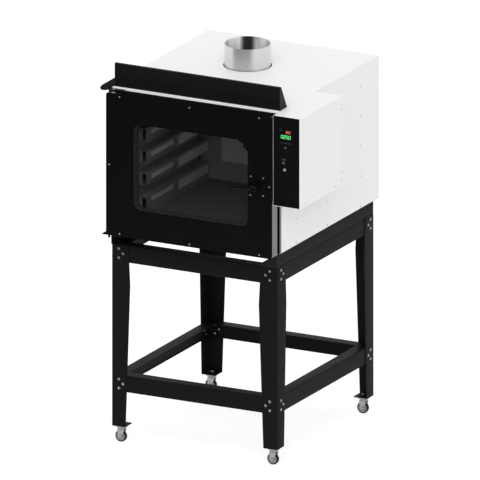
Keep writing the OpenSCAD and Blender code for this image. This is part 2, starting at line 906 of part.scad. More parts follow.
// A folded tray rack for the left side, from the chamber's left wall inwards
module rack_shape() {
    y0 = rack_front;
    y1 = rack_back;
    web = chamber_left + rack_reach;
    deep = web - groove_d;
    tab_y = y0 + rack_t;
    tab_w = 20;
    top_z = chamber_top - rack_top_gap - 8;
    difference() {
        union() {
            block([web - rack_t, y0, chamber_floor], [web, y1, top_z]);
            for (i = [0:rack_levels - 1]) {
                z = chamber_floor + rack_first + i * rack_pitch;
                block([deep - rack_t, y0, z - rack_t],
                      [web, y1, z + groove_h + rack_t]);
            }
            block([chamber_left + slip, y0, chamber_floor],
                  [web, tab_y, top_z]);
        }
        for (i = [0:rack_levels - 1]) {
            z = chamber_floor + rack_first + i * rack_pitch;
            block([deep, y0 - 1, z], [web + 1, y1 + 1, z + groove_h]);
            notch = i == rack_levels - 1
                ? top_z - z - groove_h - rack_t - 6
                : rack_pitch - groove_h - 2 * rack_t;
            block([web - tab_w, y0 - 1, z + groove_h + rack_t],
                  [web - rack_t, tab_y + 1, z + groove_h + rack_t + notch]);
            for (s = [[0.08, 0.44], [0.52, 0.9]])
                block([web - rack_t - 1, y0 + s[0] * rack_d,
                       z - rack_t - 34],
                      [web + 1, y0 + s[1] * rack_d, z - rack_t - 12]);
        }
    }
}

module rack(side) {
    color([0.55, 0.55, 0.55])
        if (side < 0) rack_shape();
        else translate([chamber_left + chamber_right, 0, 0])
            mirror([1, 0, 0]) rack_shape();
}

// Sheet between the baking space and the fan
module air_baffle() {
    color([0.5, 0.5, 0.5]) difference() {
        union() {
            block([chamber_left + baffle_side, baffle_y, chamber_floor],
                  [chamber_right - baffle_side, baffle_y + liner_t,
                   chamber_top - slip]);
            for (x = [chamber_left + baffle_side,
                      chamber_right - baffle_side - liner_t])
                block([x, baffle_y, chamber_floor],
                      [x + liner_t, baffle_y + baffle_fold,
                       chamber_top - slip]);
        }
        bar_y(body_mid, baffle_y - 1, baffle_y + liner_t + 1, fan_z,
              inlet_hole_d);
    }
}

// Slotted guard over the fan's inlet
module fan_guard() {
    y0 = baffle_y - guard_t;
    slots = 9;
    slot_pitch = inlet_hole_d / (slots + 1);
    color([0.62, 0.62, 0.62]) difference() {
        block([body_mid - guard_w / 2, y0, chamber_floor + guard_up],
              [body_mid + guard_w / 2, baffle_y, chamber_top - 14]);
        for (i = [1:slots]) {
            z = (i - (slots + 1) / 2) * slot_pitch;
            half = sqrt(pow(inlet_hole_d / 2, 2) - z * z) - 8;
            block([body_mid - half, y0 - 1, fan_z + z - slot_pitch * 0.28],
                  [body_mid + half, baffle_y + 1,
                   fan_z + z + slot_pitch * 0.28]);
        }
    }
}

// Fan wheel with straight blades, and its shaft
module fan_wheel() {
    hub_d = shaft_d + 22;
    blade = 44;
    sheet = 2;
    color([0.7, 0.7, 0.71]) union() {
        bar_y(body_mid, fan_back - sheet, fan_back, fan_z, fan_d);
        difference() {
            bar_y(body_mid, fan_front, fan_front + sheet, fan_z, fan_d);
            bar_y(body_mid, fan_front - 1, fan_front + sheet + 1, fan_z,
                  fan_d - 2 * blade - 2);
        }
        bar_y(body_mid, fan_front + fan_w / 5, fan_back, fan_z, hub_d);
        bar_y(body_mid, fan_front + 4, motor_front + shaft_in, fan_z, shaft_d);
        for (i = [0:fan_blades - 1])
            translate([body_mid, 0, fan_z]) rotate([0, i * 360 / fan_blades, 0])
                block([fan_d / 2 - blade, fan_front + sheet / 2, -sheet / 2],
                      [fan_d / 2 - 1, fan_back - sheet / 2, sheet / 2]);
    }
}

// Motor on a bracket that stands on the underside of the body
module fan_motor() {
    half = motor_d * 0.3;
    sheet = 4;
    z0 = body_bottom + panel_t;
    y0 = motor_front + 8;
    color([0.35, 0.36, 0.38]) difference() {
        union() {
            bar_y(body_mid, motor_front, motor_front + motor_l, fan_z,
                  motor_d);
            block([body_mid - half, y0, z0],
                  [body_mid + half, y0 + sheet, fan_z]);
            block([body_mid - half, y0, z0],
                  [body_mid + half, motor_front + motor_l * 0.6, z0 + sheet]);
        }
        bar_y(body_mid, motor_front - 1, motor_front + shaft_in + 10, fan_z,
              shaft_d + 2 * running);
    }
}

// Three burner tubes on cross bars, with their manifold
module burner_tubes() {
    reach = burner_pitch + burner_d;
    color([0.55, 0.53, 0.5]) difference() {
        union() {
            for (i = [-1, 0, 1])
                bar_y(body_mid + i * burner_pitch, burner_front, manifold_y,
                      burner_z, burner_d);
            bar_x(body_mid - reach, body_mid + reach, manifold_y, burner_z,
                  manifold_d);
            for (y = [burner_front + bar_in, manifold_y - bar_in - bar_t])
                block([body_mid - reach, y, body_bottom + panel_t],
                      [body_mid + reach, y + bar_t,
                       burner_z - burner_d / 4]);
        }
        for (i = [-1, 0, 1])
            bar_y(body_mid + i * burner_pitch, burner_front - 1,
                  manifold_y - manifold_d / 2 - burner_wall, burner_z,
                  burner_d - 2 * burner_wall);
    }
}

// Gas valve block on its foot
module gas_valve() {
    half = valve_w / 2;
    color([0.62, 0.62, 0.64]) difference() {
        union() {
            block([valve_x - half, valve_front, valve_low],
                  [valve_x + half, valve_back, valve_high]);
            bar_z(valve_x, valve_y, valve_high, valve_high + knob_h, knob_d);
            block([valve_x - 15, valve_y - 20, body_bottom + panel_t],
                  [valve_x + 15, valve_y + 20, valve_low]);
        }
        bar_y(valve_x, valve_back - 20, valve_back + 1, valve_z,
              inlet_core_d + 2 * running);
        bar_y(valve_x, valve_front - 1, valve_front + pipe_end, burner_z,
              pipe_d + 2 * running);
    }
}

// Inlet pipe with its lock nut, and the pipe from the valve to the manifold
module gas_pipe() {
    pipe_x = body_mid + burner_pitch;
    turn_y = valve_front - pipe_d / 2 - 10;
    color([0.76, 0.66, 0.36]) {
        union() {
            bar_y(valve_x, valve_back - 20 + slip, body_back + inlet_out,
                  valve_z, inlet_core_d);
            bar_y(valve_x, body_back + lock_nut_t, body_back + inlet_out,
                  valve_z, inlet_d);
        }
        translate([valve_x, body_back, valve_z]) rotate([-90, 0, 0])
            difference() {
                cylinder(d = inlet_d + 12, h = lock_nut_t, $fn = 6);
                translate([0, 0, -1])
                    cylinder(d = inlet_core_d + 2 * running,
                             h = lock_nut_t + 2);
            }
        union() {
            bar_y(pipe_x, manifold_y + manifold_d / 2 + slip, turn_y, burner_z,
                  pipe_d);
            translate([pipe_x, turn_y, burner_z]) sphere(d = pipe_d);
            bar_x(pipe_x, valve_x, turn_y, burner_z, pipe_d);
            translate([valve_x, turn_y, burner_z]) sphere(d = pipe_d);
            bar_y(valve_x, turn_y, valve_front + pipe_end - slip, burner_z,
                  pipe_d);
        }
    }
}

// Socket for a mains lead, set in the back panel
module power_inlet() {
    color([0.1, 0.1, 0.1]) difference() {
        union() {
            block([power_x - 14, body_back - 20, power_z - 11],
                  [power_x + 14, body_back, power_z + 11]);
            block([power_x - 24, body_back, power_z - 14],
                  [power_x + 24, body_back + 3, power_z + 14]);
        }
        block([power_x - 12, body_back - 14, power_z - 8],
              [power_x + 12, body_back + 4, power_z + 8]);
    }
}

// Flue collar that stands on the chamber's roof and passes the top panel
module flue_collar() {
    z0 = chamber_top + liner_t;
    step_z = body_top - 12;
    bore = flue_d - 2 * flue_wall;
    color([0.75, 0.75, 0.76]) difference() {
        union() {
            bar_z(flue_x, flue_y, step_z, body_top + flue_h, flue_d);
            bar_z(flue_x, flue_y, z0, step_z + flue_wall, flue_d - 8);
        }
        bar_z(flue_x, flue_y, step_z + flue_wall, body_top + flue_h + 1,
              bore);
        bar_z(flue_x, flue_y, z0 - 1, body_top, bore - 8);
        for (a = [0, 90])
            translate([flue_x, flue_y, z0]) rotate([0, 0, a])
                block([-flue_d, -35, -1], [flue_d, 35, jacket_gap - 3]);
    }
}

// Folded sheet bar on the front edge of the body's top, with closed ends
module hood_bar() {
    color([0.09, 0.09, 0.09]) translate([hood_left, hood_front, body_top])
        rotate([90, 0, 90]) difference() {
            linear_extrude(hood_w) polygon([
                [0, 0], [hood_base, 0], [hood_top, hood_h], [0, hood_h]]);
            translate([0, 0, hood_t]) linear_extrude(hood_w - 2 * hood_t)
                polygon([
                    [hood_t, -1], [hood_base - 2 * hood_t, -1],
                    [hood_top - hood_t, hood_h - hood_t],
                    [hood_t, hood_h - hood_t]]);
        }
}

// A screw along +X with its head at X 0
module screw() {
    rotate([0, 90, 0]) union() {
        translate([0, 0, -screw_head_h])
            cylinder(d = screw_head_d, h = screw_head_h);
        cylinder(d = screw_d, h = screw_l);
    }
}

module panel_screws() {
    color([0.7, 0.7, 0.7]) {
        for (s = side_screws, m = [0, 1])
            translate([m == 0 ? body_left : body_right, body_back - s[0],
                       body_bottom + s[1]])
                mirror([m, 0, 0]) screw();
        for (s = box_screws)
            translate([box_right, box_back - s[0], box_bottom + s[1]])
                mirror([1, 0, 0]) screw();
    }
}

// Sheet housing of the controls, open behind the control panel
module control_box() {
    color([0.95, 0.95, 0.94]) difference() {
        block([box_left, box_front, box_bottom],
              [box_right, box_back, box_top]);
        block([box_left + panel_t, box_front + panel_t, box_bottom + panel_t],
              [box_right - panel_t, box_back - panel_t, box_top - panel_t]);
        block([box_left - 1, box_front - 1, box_bottom - 1],
              [box_right - box_edge, control_back, box_top + 1]);
        for (s = box_screws)
            bar_x(box_right - screw_l, box_right + 1, box_back - s[0],
                  box_bottom + s[1], screw_d + 2 * running);
    }
}

// Black panel with openings for the display, the buttons and the switch
module control_panel() {
    color([0.05, 0.05, 0.05]) difference() {
        union() {
            block([box_left, box_front, box_bottom],
                  [box_right - box_edge - slip, control_back, box_top]);
            bar_y(switch_x, box_front - 1.5, control_back, switch_z,
                  2 * bezel_r);
        }
        block([display_x - display_w / 2, box_front - 1,
               display_z - display_h / 2],
              [display_x + display_w / 2, control_back + 1,
               display_z + display_h / 2]);
        bar_y(start_x, box_front - 1, control_back + 1, start_z,
              start_d + 2 * slip);
        bar_y(push_x, box_front - 1, control_back + 1, push_z,
              push_d + 2 * slip);
        block([switch_x - rocker_w / 2 - slip, box_front - 3,
               switch_z - rocker_h / 2 - 1.5],
              [switch_x + rocker_w / 2 + slip, control_back + 1,
               switch_z + rocker_h / 2 + 1.5]);
    }
}

// Circuit board with the display block, and the body of the switch
module control_board() {
    board_y = control_back + 12;
    color([0.08, 0.25, 0.14]) union() {
        block([box_left + 18, board_y, push_z - 30],
              [box_right - 18, board_y + 1.6, display_z + 45]);
        block([display_x - display_w / 2 + slip, box_front + 0.8,
               display_z - display_h / 2 + slip],
              [display_x + display_w / 2 - slip, board_y,
               display_z + display_h / 2 - slip]);
        for (x = [box_left + 24, box_right - 24],
             z = [push_z - 24, display_z + 39])
            bar_y(x, control_back, board_y, z, 6);
    }
}

// A button cap with a collar behind the panel, pressed along +Y
module button(x, z, d) {
    bar_y(x, box_front - cap_out, control_back + slip, z, d);
    bar_y(x, control_back + slip, control_back + slip + 2, z, d + 4);
    bar_y(x, control_back + slip, control_back + 11 - button_travel, z, 4);
}

module start_button() {
    color([0.55, 0.55, 0.55]) union() button(start_x, start_z, start_d);
}

module push_button() {
    color([0.8, 0.8, 0.8]) union() button(push_x, push_z, push_d);
}

// Rocker that tips about its pivot behind the panel
module rocker_switch() {
    pivot_y = control_back + 3;
    reach = rocker_h / 2 - 1;
    color([0.08, 0.08, 0.08]) union() {
        translate([switch_x - rocker_w / 2, 0, switch_z])
            rotate([90, 0, 90]) linear_extrude(rocker_w) polygon([
                [box_front - 4.5, -reach], [box_front - 2, 0],
                [box_front - 1.5, reach], [pivot_y, reach - 1.5],
                [pivot_y + 3, 0], [pivot_y, -reach + 1.5]]);
        bar_x(switch_x - rocker_w / 2 - 3, switch_x + rocker_w / 2 + 3,
              pivot_y + 1, switch_z, 3);
    }
}

// Places of the door's screws, as [x, z]
door_screw_places = concat(
    [for (x = door_screw_x, z = [door_screw_in, door_h - door_screw_in])
        [door_left + x, door_bottom + z]],
    [[door_left + 16, handle_z], [door_right - door_screw_in, handle_z]],
    [for (x = [-latch_dx, latch_dx], z = [-latch_dz, latch_dz])
        [handle_x + x, handle_z + z]]);

module door_screw_holes() {
    for (p = door_screw_places)
        bar_y(p[0], door_front - 1, door_front + screw_l + 1, p[1],
              screw_d + 2 * running);
}

// Black plate on the door's front, around the window
module door_front_plate() {
    color([0.05, 0.05, 0.05]) difference() {
        front_slab(door_left, door_bottom, door_w, door_h, door_r,
                   door_front, plate_back);
        front_slab(window_left, window_bottom, window_w, window_h, window_r,
                   door_front - 1, plate_back + 1);
        bar_y(handle_x, door_front - 1, plate_back + 1, handle_z,
              spindle_d + 2 * running);
        door_screw_holes();
    }
}

// Folded steel frame of the door, with a collar around the glass
module door_frame() {
    t = door_sheet_t;
    glass_x = window_left - collar_out;
    glass_z = window_bottom - collar_out;
    glass_w = window_w + 2 * collar_out;
    glass_h = window_h + 2 * collar_out;
    color([0.5, 0.5, 0.51]) difference() {
        union() {
            difference() {
                front_slab(door_left, door_bottom, door_w, door_h, door_r,
                           plate_back, door_back);
                front_slab(door_left + t, door_bottom + t, door_w - 2 * t,
                           door_h - 2 * t, door_r - t,
                           plate_back + t, door_back - t);
                front_slab(door_left + door_flange, door_bottom + door_flange,
                           door_w - 2 * door_flange,
                           door_h - 2 * door_flange, door_r,
                           plate_back - 1, plate_back + t + 1);
            }
            block([glass_x - t, plate_back, glass_z - t],
                  [glass_x + glass_w + t, door_back, glass_z + glass_h + t]);
            block([glass_x + glass_w, plate_back, handle_z - latch_dz - 12],
                  [door_right - t, plate_back + 3,
                   handle_z + latch_dz + 12]);
        }
        block([glass_x, plate_back - 1, glass_z],
              [glass_x + glass_w, door_back - t, glass_z + glass_h]);
        front_slab(window_left, window_bottom, window_w, window_h, window_r,
                   plate_back, door_back + 1);
        bar_y(handle_x, plate_back - 1, door_back + 1, handle_z,
              spindle_d + 2 * running);
        door_screw_holes();
    }
}

// Two panes, one behind the front plate and one in front of the door's back
module door_glass() {
    x = window_left - glass_lap;
    z = window_bottom - glass_lap;
    w = window_w + 2 * glass_lap;
    h = window_h + 2 * glass_lap;
    color([0.15, 0.16, 0.16, 0.4])
        for (y = [plate_back, door_back - door_sheet_t - glass_t])
            block([x, y, z], [x + w, y + glass_t, z + h]);
}

// Soft seal on the door's back, around the mouth of the chamber
module door_seal() {
    x = chamber_left + mouth_lip;
    z = chamber_floor + mouth_lip - 3;
    w = chamber_w - 2 * mouth_lip;
    h = chamber_h - 2 * mouth_lip + 6;
    color([0.16, 0.16, 0.16]) difference() {
        front_slab(x - seal_w, z - seal_w, w + 2 * seal_w, h + 2 * seal_w,
                   seal_w, door_back, frame_face - slip);
        front_slab(x, z, w, h, 6, door_back - 1, frame_face + 1);
    }
}

module door_screws() {
    color([0.75, 0.75, 0.75]) for (p = door_screw_places)
        translate([p[0], door_front, p[1]]) rotate([0, 0, 90]) screw();
}

// A flat ear with its eye around the hinge pin
module hinge_ear(z) {
    difference() {
        union() {
            bar_z(pin_x, pin_y, z, z + ear_t, ear_w);
            block([pin_x, pin_y - ear_w / 2, z],
                  [pin_x + ear_l, pin_y + ear_w / 2, z + ear_t]);
        }
        bar_z(pin_x, pin_y, z - 1, z + ear_t + 1, pin_d + 2 * running);
    }
}

module hinge_ears() {
    color([0.5, 0.5, 0.5]) {
        hinge_ear(door_top);
        hinge_ear(door_bottom - ear_t);
    }
}

// Upper bracket on the body's top edge and lower bracket on the base rail
module hinge_brackets() {
    left = pin_x - bracket_out;
    front = pin_y - bracket_front;
    low_top = door_bottom - ear_t - 1;
    low_left = pin_x - 26;
    low_front = pin_y - 17;
    nose_r = 24;
    leg_y = body_front + 16;
    color([0.08, 0.08, 0.08]) difference() {
        union() {
            translate([left, front, body_top]) linear_extrude(bracket_t)
                union() {
                    translate([nose_r, 0])
                        square([bracket_w - nose_r - 12, bracket_l]);
                    translate([0, nose_r])
                        square([bracket_w, bracket_l - nose_r]);
                    translate([nose_r, nose_r]) circle(nose_r);
                    translate([bracket_w - 12, 12]) circle(12);
                    translate([bracket_w - 12, 12]) square([12, 14]);
                }
            block([body_left - bracket_t, leg_y, body_top - bracket_leg],
                  [body_left, front + bracket_l, body_top + bracket_t]);
            translate([0, 0, low_top - bracket_t]) linear_extrude(bracket_t)
                polygon([
                    [low_left, low_front], [pin_x + 13, low_front],
                    [pin_x + 13, stand_front - base_rail_out - slip],
                    [stand_left, stand_front - base_rail_out - slip],
                    [stand_left, stand_front + 60],
                    [low_left, stand_front + 60]]);
            block([stand_left - bracket_t, stand_front + 15,
                   low_top - bracket_leg],
                  [stand_left, stand_front + 60, low_top]);
        }
        bar_z(pin_x, pin_y, body_top - 1, body_top + bracket_t + 1,
              pin_d + 2 * running);
        bar_z(pin_x, pin_y, low_top - bracket_t - 1, low_top + 1,
              pin_d + 2 * running);
    }
}

// Hinge pins with a collar between bracket and ear
module hinge_pins() {
    low_top = door_bottom - ear_t - 1;
    color([0.45, 0.45, 0.46]) {
        union() {
            bar_z(pin_x, pin_y, door_top - 1, body_top + bracket_t, pin_d);
            bar_z(pin_x, pin_y, door_top + ear_t + slip, body_top,
                  pin_d + 8);
            bar_z(pin_x, pin_y, body_top + bracket_t,
                  body_top + bracket_t + 1.5, pin_d + 4);
        }
        union() {
            bar_z(pin_x, pin_y, low_top - bracket_t - 16, door_bottom + 1,
                  pin_d);
            bar_z(pin_x, pin_y, low_top, low_top + 1 - slip, pin_d + 8);
        }
    }
}

// Lever that points to the left and widens towards its boss
module handle_lever() {
    arm_front = door_front - slip - lever_gap - lever_t;
    arm_back = arm_front + lever_t;
    tip = lever_tip_w / 2;
    root = boss_d / 2 - 3;
    color([0.03, 0.03, 0.03]) difference() {
        union() {
            bar_y(handle_x, arm_front, door_front - slip, handle_z, boss_d);
            bar_y(handle_x - lever_l + tip, arm_front, arm_back, handle_z,
                  lever_tip_w);
            translate([handle_x, arm_back, handle_z]) rotate([90, 0, 0])
                linear_extrude(lever_t) polygon([
                    [0, root], [-lever_l + tip, tip],
                    [-lever_l + tip, -tip], [0, -root]]);
        }
        bar_y(handle_x, arm_front + 4, door_front, handle_z,
              spindle_d + 2 * running);
    }
}

// Spindle through the door, with the latch tongue behind the front frame
module latch_tongue() {
    spindle_front = door_front - slip - lever_gap - lever_t + 4 + slip;
    color([0.6, 0.6, 0.62]) union() {
        bar_y(handle_x, spindle_front, tongue_y + tongue_t, handle_z,
              spindle_d);
        bar_y(handle_x, tongue_y, tongue_y + tongue_t, handle_z,
              spindle_d + 5);
        block([handle_x, tongue_y, handle_z - tongue_w / 2],
              [handle_x + tongue_l, tongue_y + tongue_t,
               handle_z + tongue_w / 2]);
    }
}

leg([-1, -1]);  // leg_front_left
leg([1, -1]);  // leg_front_right
leg([-1, 1]);  // leg_rear_left
leg([1, 1]);  // leg_rear_right
rails(upper_rail_z);  // upper_rails
rails(lower_rail_z);  // lower_rails
stand_bolts();
caster_stems();
caster_fork([-1, -1]);  // caster_fork_front_left
caster_fork([1, -1]);  // caster_fork_front_right
caster_fork([-1, 1]);  // caster_fork_rear_left
caster_fork([1, 1]);  // caster_fork_rear_right
caster_wheel([-1, -1]);  // caster_wheel_front_left
caster_wheel([1, -1]);  // caster_wheel_front_right
caster_wheel([-1, 1]);  // caster_wheel_rear_left
caster_wheel([1, 1]);  // caster_wheel_rear_right
caster_tyre([-1, -1]);  // caster_tyre_front_left
caster_tyre([1, -1]);  // caster_tyre_front_right
caster_tyre([-1, 1]);  // caster_tyre_rear_left
caster_tyre([1, 1]);  // caster_tyre_rear_right
base_rail(-1);  // base_rail_left
base_rail(1);  // base_rail_right
side_panel(-1);  // side_panel_left
side_panel(1);  // side_panel_right
top_panel();
back_panel();
base_panel();
front_frame();
chamber();
insulation();
rack(-1);  // rack_left
rack(1);  // rack_right
air_baffle();
fan_guard();
fan_wheel();
fan_motor();
burner_tubes();
gas_valve();
gas_pipe();
power_inlet();
flue_collar();
hood_bar();
panel_screws();
control_box();
control_panel();
control_board();
start_button();
push_button();
rocker_switch();
door_front_plate();
door_frame();
door_glass();
door_seal();
door_screws();
hinge_ears();
hinge_brackets();
hinge_pins();
handle_lever();
latch_tongue();
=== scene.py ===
"""Finished surfaces of a gas convection oven on an open stand, in metres."""

from math import atan2, copysign, cos, pi, radians, sin, tan

import bmesh
import bpy
from mathutils import Matrix, Vector


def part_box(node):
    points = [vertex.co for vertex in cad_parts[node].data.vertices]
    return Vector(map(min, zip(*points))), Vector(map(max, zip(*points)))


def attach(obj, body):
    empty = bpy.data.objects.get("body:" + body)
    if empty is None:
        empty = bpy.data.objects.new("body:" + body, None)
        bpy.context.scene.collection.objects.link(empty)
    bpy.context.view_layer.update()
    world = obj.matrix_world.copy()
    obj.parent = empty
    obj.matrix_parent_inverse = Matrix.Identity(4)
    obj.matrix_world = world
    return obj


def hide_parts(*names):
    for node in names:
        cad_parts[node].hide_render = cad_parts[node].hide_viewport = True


bl_info = {
    "name": "Convection Oven",
    "version": (1, 0, 0),
    "blender": (4, 5, 0),
    "location": "3D View > Sidebar > Oven",
    "description": "Builds the finished surfaces of a gas convection oven and its stand",
    "category": "Add Mesh",
}

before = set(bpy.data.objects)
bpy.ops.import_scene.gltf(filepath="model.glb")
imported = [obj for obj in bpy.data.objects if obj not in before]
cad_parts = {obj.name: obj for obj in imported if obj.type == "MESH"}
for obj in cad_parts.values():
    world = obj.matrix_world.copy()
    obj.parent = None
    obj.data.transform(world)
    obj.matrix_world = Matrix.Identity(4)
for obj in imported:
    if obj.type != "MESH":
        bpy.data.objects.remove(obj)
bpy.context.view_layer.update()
MM = 0.001
CORNERS = {"front_left": (-1, -1), "front_right": (1, -1), "rear_left": (-1, 1), "rear_right": (1, 1)}
SIDES = {"left": -1, "right": 1}
LEFTWARD, FORWARD, BACKWARD, UPWARD = (-1, 0, 0), (0, -1, 0), (0, 1, 0), (0, 0, 1)
WHITE = (1.0, 1.0, 1.0, 1.0)


# Places and outlines

def middle_of(node):
    """The middle of a CAD node's box."""
    low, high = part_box(node)
    return (low + high) / 2


def front_middle(node):
    """The middle of a CAD node's box, seen from the front."""
    low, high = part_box(node)
    return (low.x + high.x) / 2, (low.z + high.z) / 2


def corner_of(node, sx, sy):
    """A corner of a CAD node's box, seen from above, by its side along X and along Y."""
    low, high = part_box(node)
    return (low.x if sx < 0 else high.x), (low.y if sy < 0 else high.y)


def around(place, *offsets):
    """Points of an outline, each set off by millimetres from one place."""
    return [(place[0] + u * MM, place[1] + v * MM) for u, v in offsets]


def arc(centre, radius, start, end, steps):
    """Points on an arc, from one angle to another in degrees, with one radius or one along each axis."""
    wide, high = radius if isinstance(radius, tuple) else (radius, radius)
    turns = [radians(start + (end - start) * i / steps) for i in range(steps + 1)]
    return [(centre[0] + wide * cos(a), centre[1] + high * sin(a)) for a in turns]


def circle(centre, radius, steps=32):
    """Points around a circle."""
    return arc(centre, radius, 0, 360, steps)[:-1]


def superellipse(centre, half_u, half_v, power, steps):
    """Points on an oval with fuller corners than an ellipse."""
    def full(share):
        return copysign(abs(share) ** (2 / power), share)
    return [(centre[0] + half_u * full(u), centre[1] + half_v * full(v)) for u, v in circle((0, 0), 1, steps)]


def round_rectangle(x0, x1, z0, z1, radius, steps=8):
    """Outline of a rectangle with round corners."""
    corners = ((x1 - radius, z1 - radius), (x0 + radius, z1 - radius),
               (x0 + radius, z0 + radius), (x1 - radius, z0 + radius))
    return [p for i, c in enumerate(corners) for p in arc(c, radius, 90 * i, 90 * i + 90, steps)]


def round_window(centre, half_x, half_z, radius, steps=3):
    """Outline of a rectangle with round corners about its middle."""
    x, z = centre
    return round_rectangle(x - half_x, x + half_x, z - half_z, z + half_z, radius, steps)


def folded_sheet(path, thickness, radius, steps=4):
    """Closed outline of a folded sheet that lies to the left of a path, with round bends."""
    path = [Vector(p) for p in path]
    sharpest = 0.1 * MM
    rows = []
    for i, point in enumerate(path):
        before = (point - path[i - 1]).normalized() if i > 0 else None
        after = (path[i + 1] - point).normalized() if i + 1 < len(path) else None
        if before is None or after is None:
            along = after if before is None else before
            rows.append((point, Vector((-along.y, along.x))))
            continue
        turn = atan2(before.cross(after), before.dot(after))
        side = copysign(1, turn)
        bend = radius if turn > 0 else max(radius - thickness, sharpest)
        normal = Vector((-before.y, before.x))
        centre = point - before * bend * tan(abs(turn) / 2) + normal * bend * side
        for k in range(steps + 1):
            spoke = normal.copy()
            spoke.rotate(Matrix.Rotation(turn * k / steps, 2))
            rows.append((centre - spoke * bend * side, spoke))
    return [tuple(p) for p, n in rows] + [tuple(p + n * thickness) for p, n in reversed(rows)]


def both_sides(side):
    """A closed profile from one side's (radius, place) points and the same points on the other side."""
    return side + [(r, -place) for r, place in reversed(side)]


def lay_x(u, v, w):
    """A point of an outline in Y and Z, at a place along X."""
    return (w, u, v)


def lay_y(u, v, w):
    """A point of an outline in X and Z, at a place along Y."""
    return (u, w, v)


def lay_z(u, v, w):
    """A point of an outline in X and Y, at a place along Z."""
    return (u, v, w)


# Shapes

class Shape:
    """Closed parts gathered for one piece."""

    lays = {"X": lay_x, "Y": lay_y, "Z": lay_z}
    merge, node_merge, same_point = 1e-6, 1e-5, 1e-7
    flat, node_flat = radians(1), radians(0.5)

    def __init__(self):
        self.whole = bmesh.new()

    def take(self, part):
        """Adds a finished part to the whole."""
        mesh = bpy.data.meshes.new("part")
        part.to_mesh(mesh)
        part.free()
        for mark in ("custom_normal", "sharp_edge", "sharp_face"):
            if mark in mesh.attributes:
                mesh.attributes.remove(mesh.attributes[mark])
        self.whole.from_mesh(mesh)
        bpy.data.meshes.remove(mesh)
        return self

    def add(self, verts, faces):
        """A closed part from its points and faces, with its normals turned outward."""
        part = bmesh.new()
        made = [part.verts.new(v) for v in verts]
        for face in faces:
            part.faces.new([made[i] for i in face])
        bmesh.ops.remove_doubles(part, verts=part.verts, dist=self.merge)
        bmesh.ops.recalc_face_normals(part, faces=part.faces)
        return self.take(part)

    def node(self, name):
        """A copy of a CAD node, with its loose triangles merged into faces."""
        copy = bmesh.new()
        copy.from_mesh(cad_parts[name].data)
        bmesh.ops.remove_doubles(copy, verts=copy.verts, dist=self.node_merge)
        bmesh.ops.dissolve_limit(copy, angle_limit=self.node_flat, verts=copy.verts, edges=copy.edges)
        return self.take(copy)

    def loft(self, sections, ring=False, capped=True):
        """A skin through loops with the same number of points, with closed ends unless it is a ring."""
        count, total = len(sections[0]), len(sections)
        faces = []
        for i in range(total if ring else total - 1):
            a, b = i * count, (i + 1) % total * count
            faces += [(a + j, a + (j + 1) % count, b + (j + 1) % count, b + j) for j in range(count)]
        if capped and not ring:
            faces += [tuple(range(count)), tuple(range((total - 1) * count, total * count))]
        return self.add([p for s in sections for p in s], faces)

    def prism(self, outline, low, high, lay):
        """An outline drawn out between two places."""
        return self.loft([[lay(u, v, w) for u, v in outline] for w in (low, high)])

    def block(self, one, other):
        """A cut of flat sheet between two opposite corners."""
        (x0, x1), (y0, y1), (z0, z1) = (sorted(pair) for pair in zip(one, other))
        return self.prism([(x0, y0), (x1, y0), (x1, y1), (x0, y1)], z0, z1, lay_z)

    def turned(self, profile, centre, axis="Z", steps=48, ring=False):
        """A profile of (radius, place along the axis) turned round an axis through a centre."""
        lay, centre = self.lays[axis], Vector(centre)
        sections = [[tuple(centre + Vector(lay(u, v, place))) for u, v in circle((0, 0), radius, steps)]
                    for radius, place in profile]
        return self.loft(sections, ring, capped=False)

    def rim(self, outline, profile, lay):
        """A closed profile of (distance outside an outline, place across it) led round that outline."""
        loop = [Vector(p) for p in outline]
        loop = [p for i, p in enumerate(loop) if (p - loop[i - 1]).length > self.same_point]
        sections = []
        for i, point in enumerate(loop):
            along = (loop[(i + 1) % len(loop)] - loop[i - 1]).normalized()
            out = Vector((along.y, -along.x))
            sections.append([lay(*(point + out * away), place) for away, place in profile])
        return self.loft(sections, ring=True)

    def plate(self, outline, holes, low, high, lay):
        """A flat plate with holes, between two levels."""
        loops = [outline, *holes]
        sheet = bmesh.new()
        for loop in loops:
            ring = [sheet.verts.new((u, v, 0)) for u, v in loop]
            for i in range(len(ring)):
                sheet.edges.new((ring[i - 1], ring[i]))
        bmesh.ops.triangle_fill(sheet, use_beauty=True, edges=sheet.edges)
        bmesh.ops.dissolve_limit(sheet, angle_limit=self.flat, verts=[], edges=sheet.edges)
        sheet.verts.index_update()
        skin = [tuple(v.index for v in face.verts) for face in sheet.faces]
        sheet.free()
        points = [p for loop in loops for p in loop]
        count = len(points)
        faces = skin + [tuple(i + count for i in face) for face in skin]
        start = 0
        for loop in loops:
            for i in range(len(loop)):
                a, b = start + i, start + (i + 1) % len(loop)
                faces.append((a, b, b + count, a + count))
            start += len(loop)
        return self.add([lay(u, v, w) for w in (low, high) for u, v in points], faces)

    def piece(self, name, edge=0.0, segments=2, angle=40):
        """The mesh as an object, with its sharp edges rounded."""
        mesh = bpy.data.meshes.new(name)
        self.whole.to_mesh(mesh)
        self.whole.free()
        mesh.shade_smooth()
        piece = bpy.data.objects.new(name, mesh)
        bpy.context.scene.collection.objects.link(piece)
        if edge:
            bevel = piece.modifiers.new("Edge", "BEVEL")
            bevel.width = edge
            bevel.segments = segments
            bevel.limit_method = "ANGLE"
            bevel.angle_limit = radians(angle)
            bevel.use_clamp_overlap = False
            bevel.harden_normals = True
            settle(piece)
        else:
            mesh.set_sharp_from_angle(angle=radians(angle))
        return piece

    def finished(self, name, finish, slot, body="root", nodes=(), edge=0.0, segments=2, angle=40):
        """The finished piece on its body."""
        place(self.piece(name, edge, segments, angle), finish, slot, body, nodes)


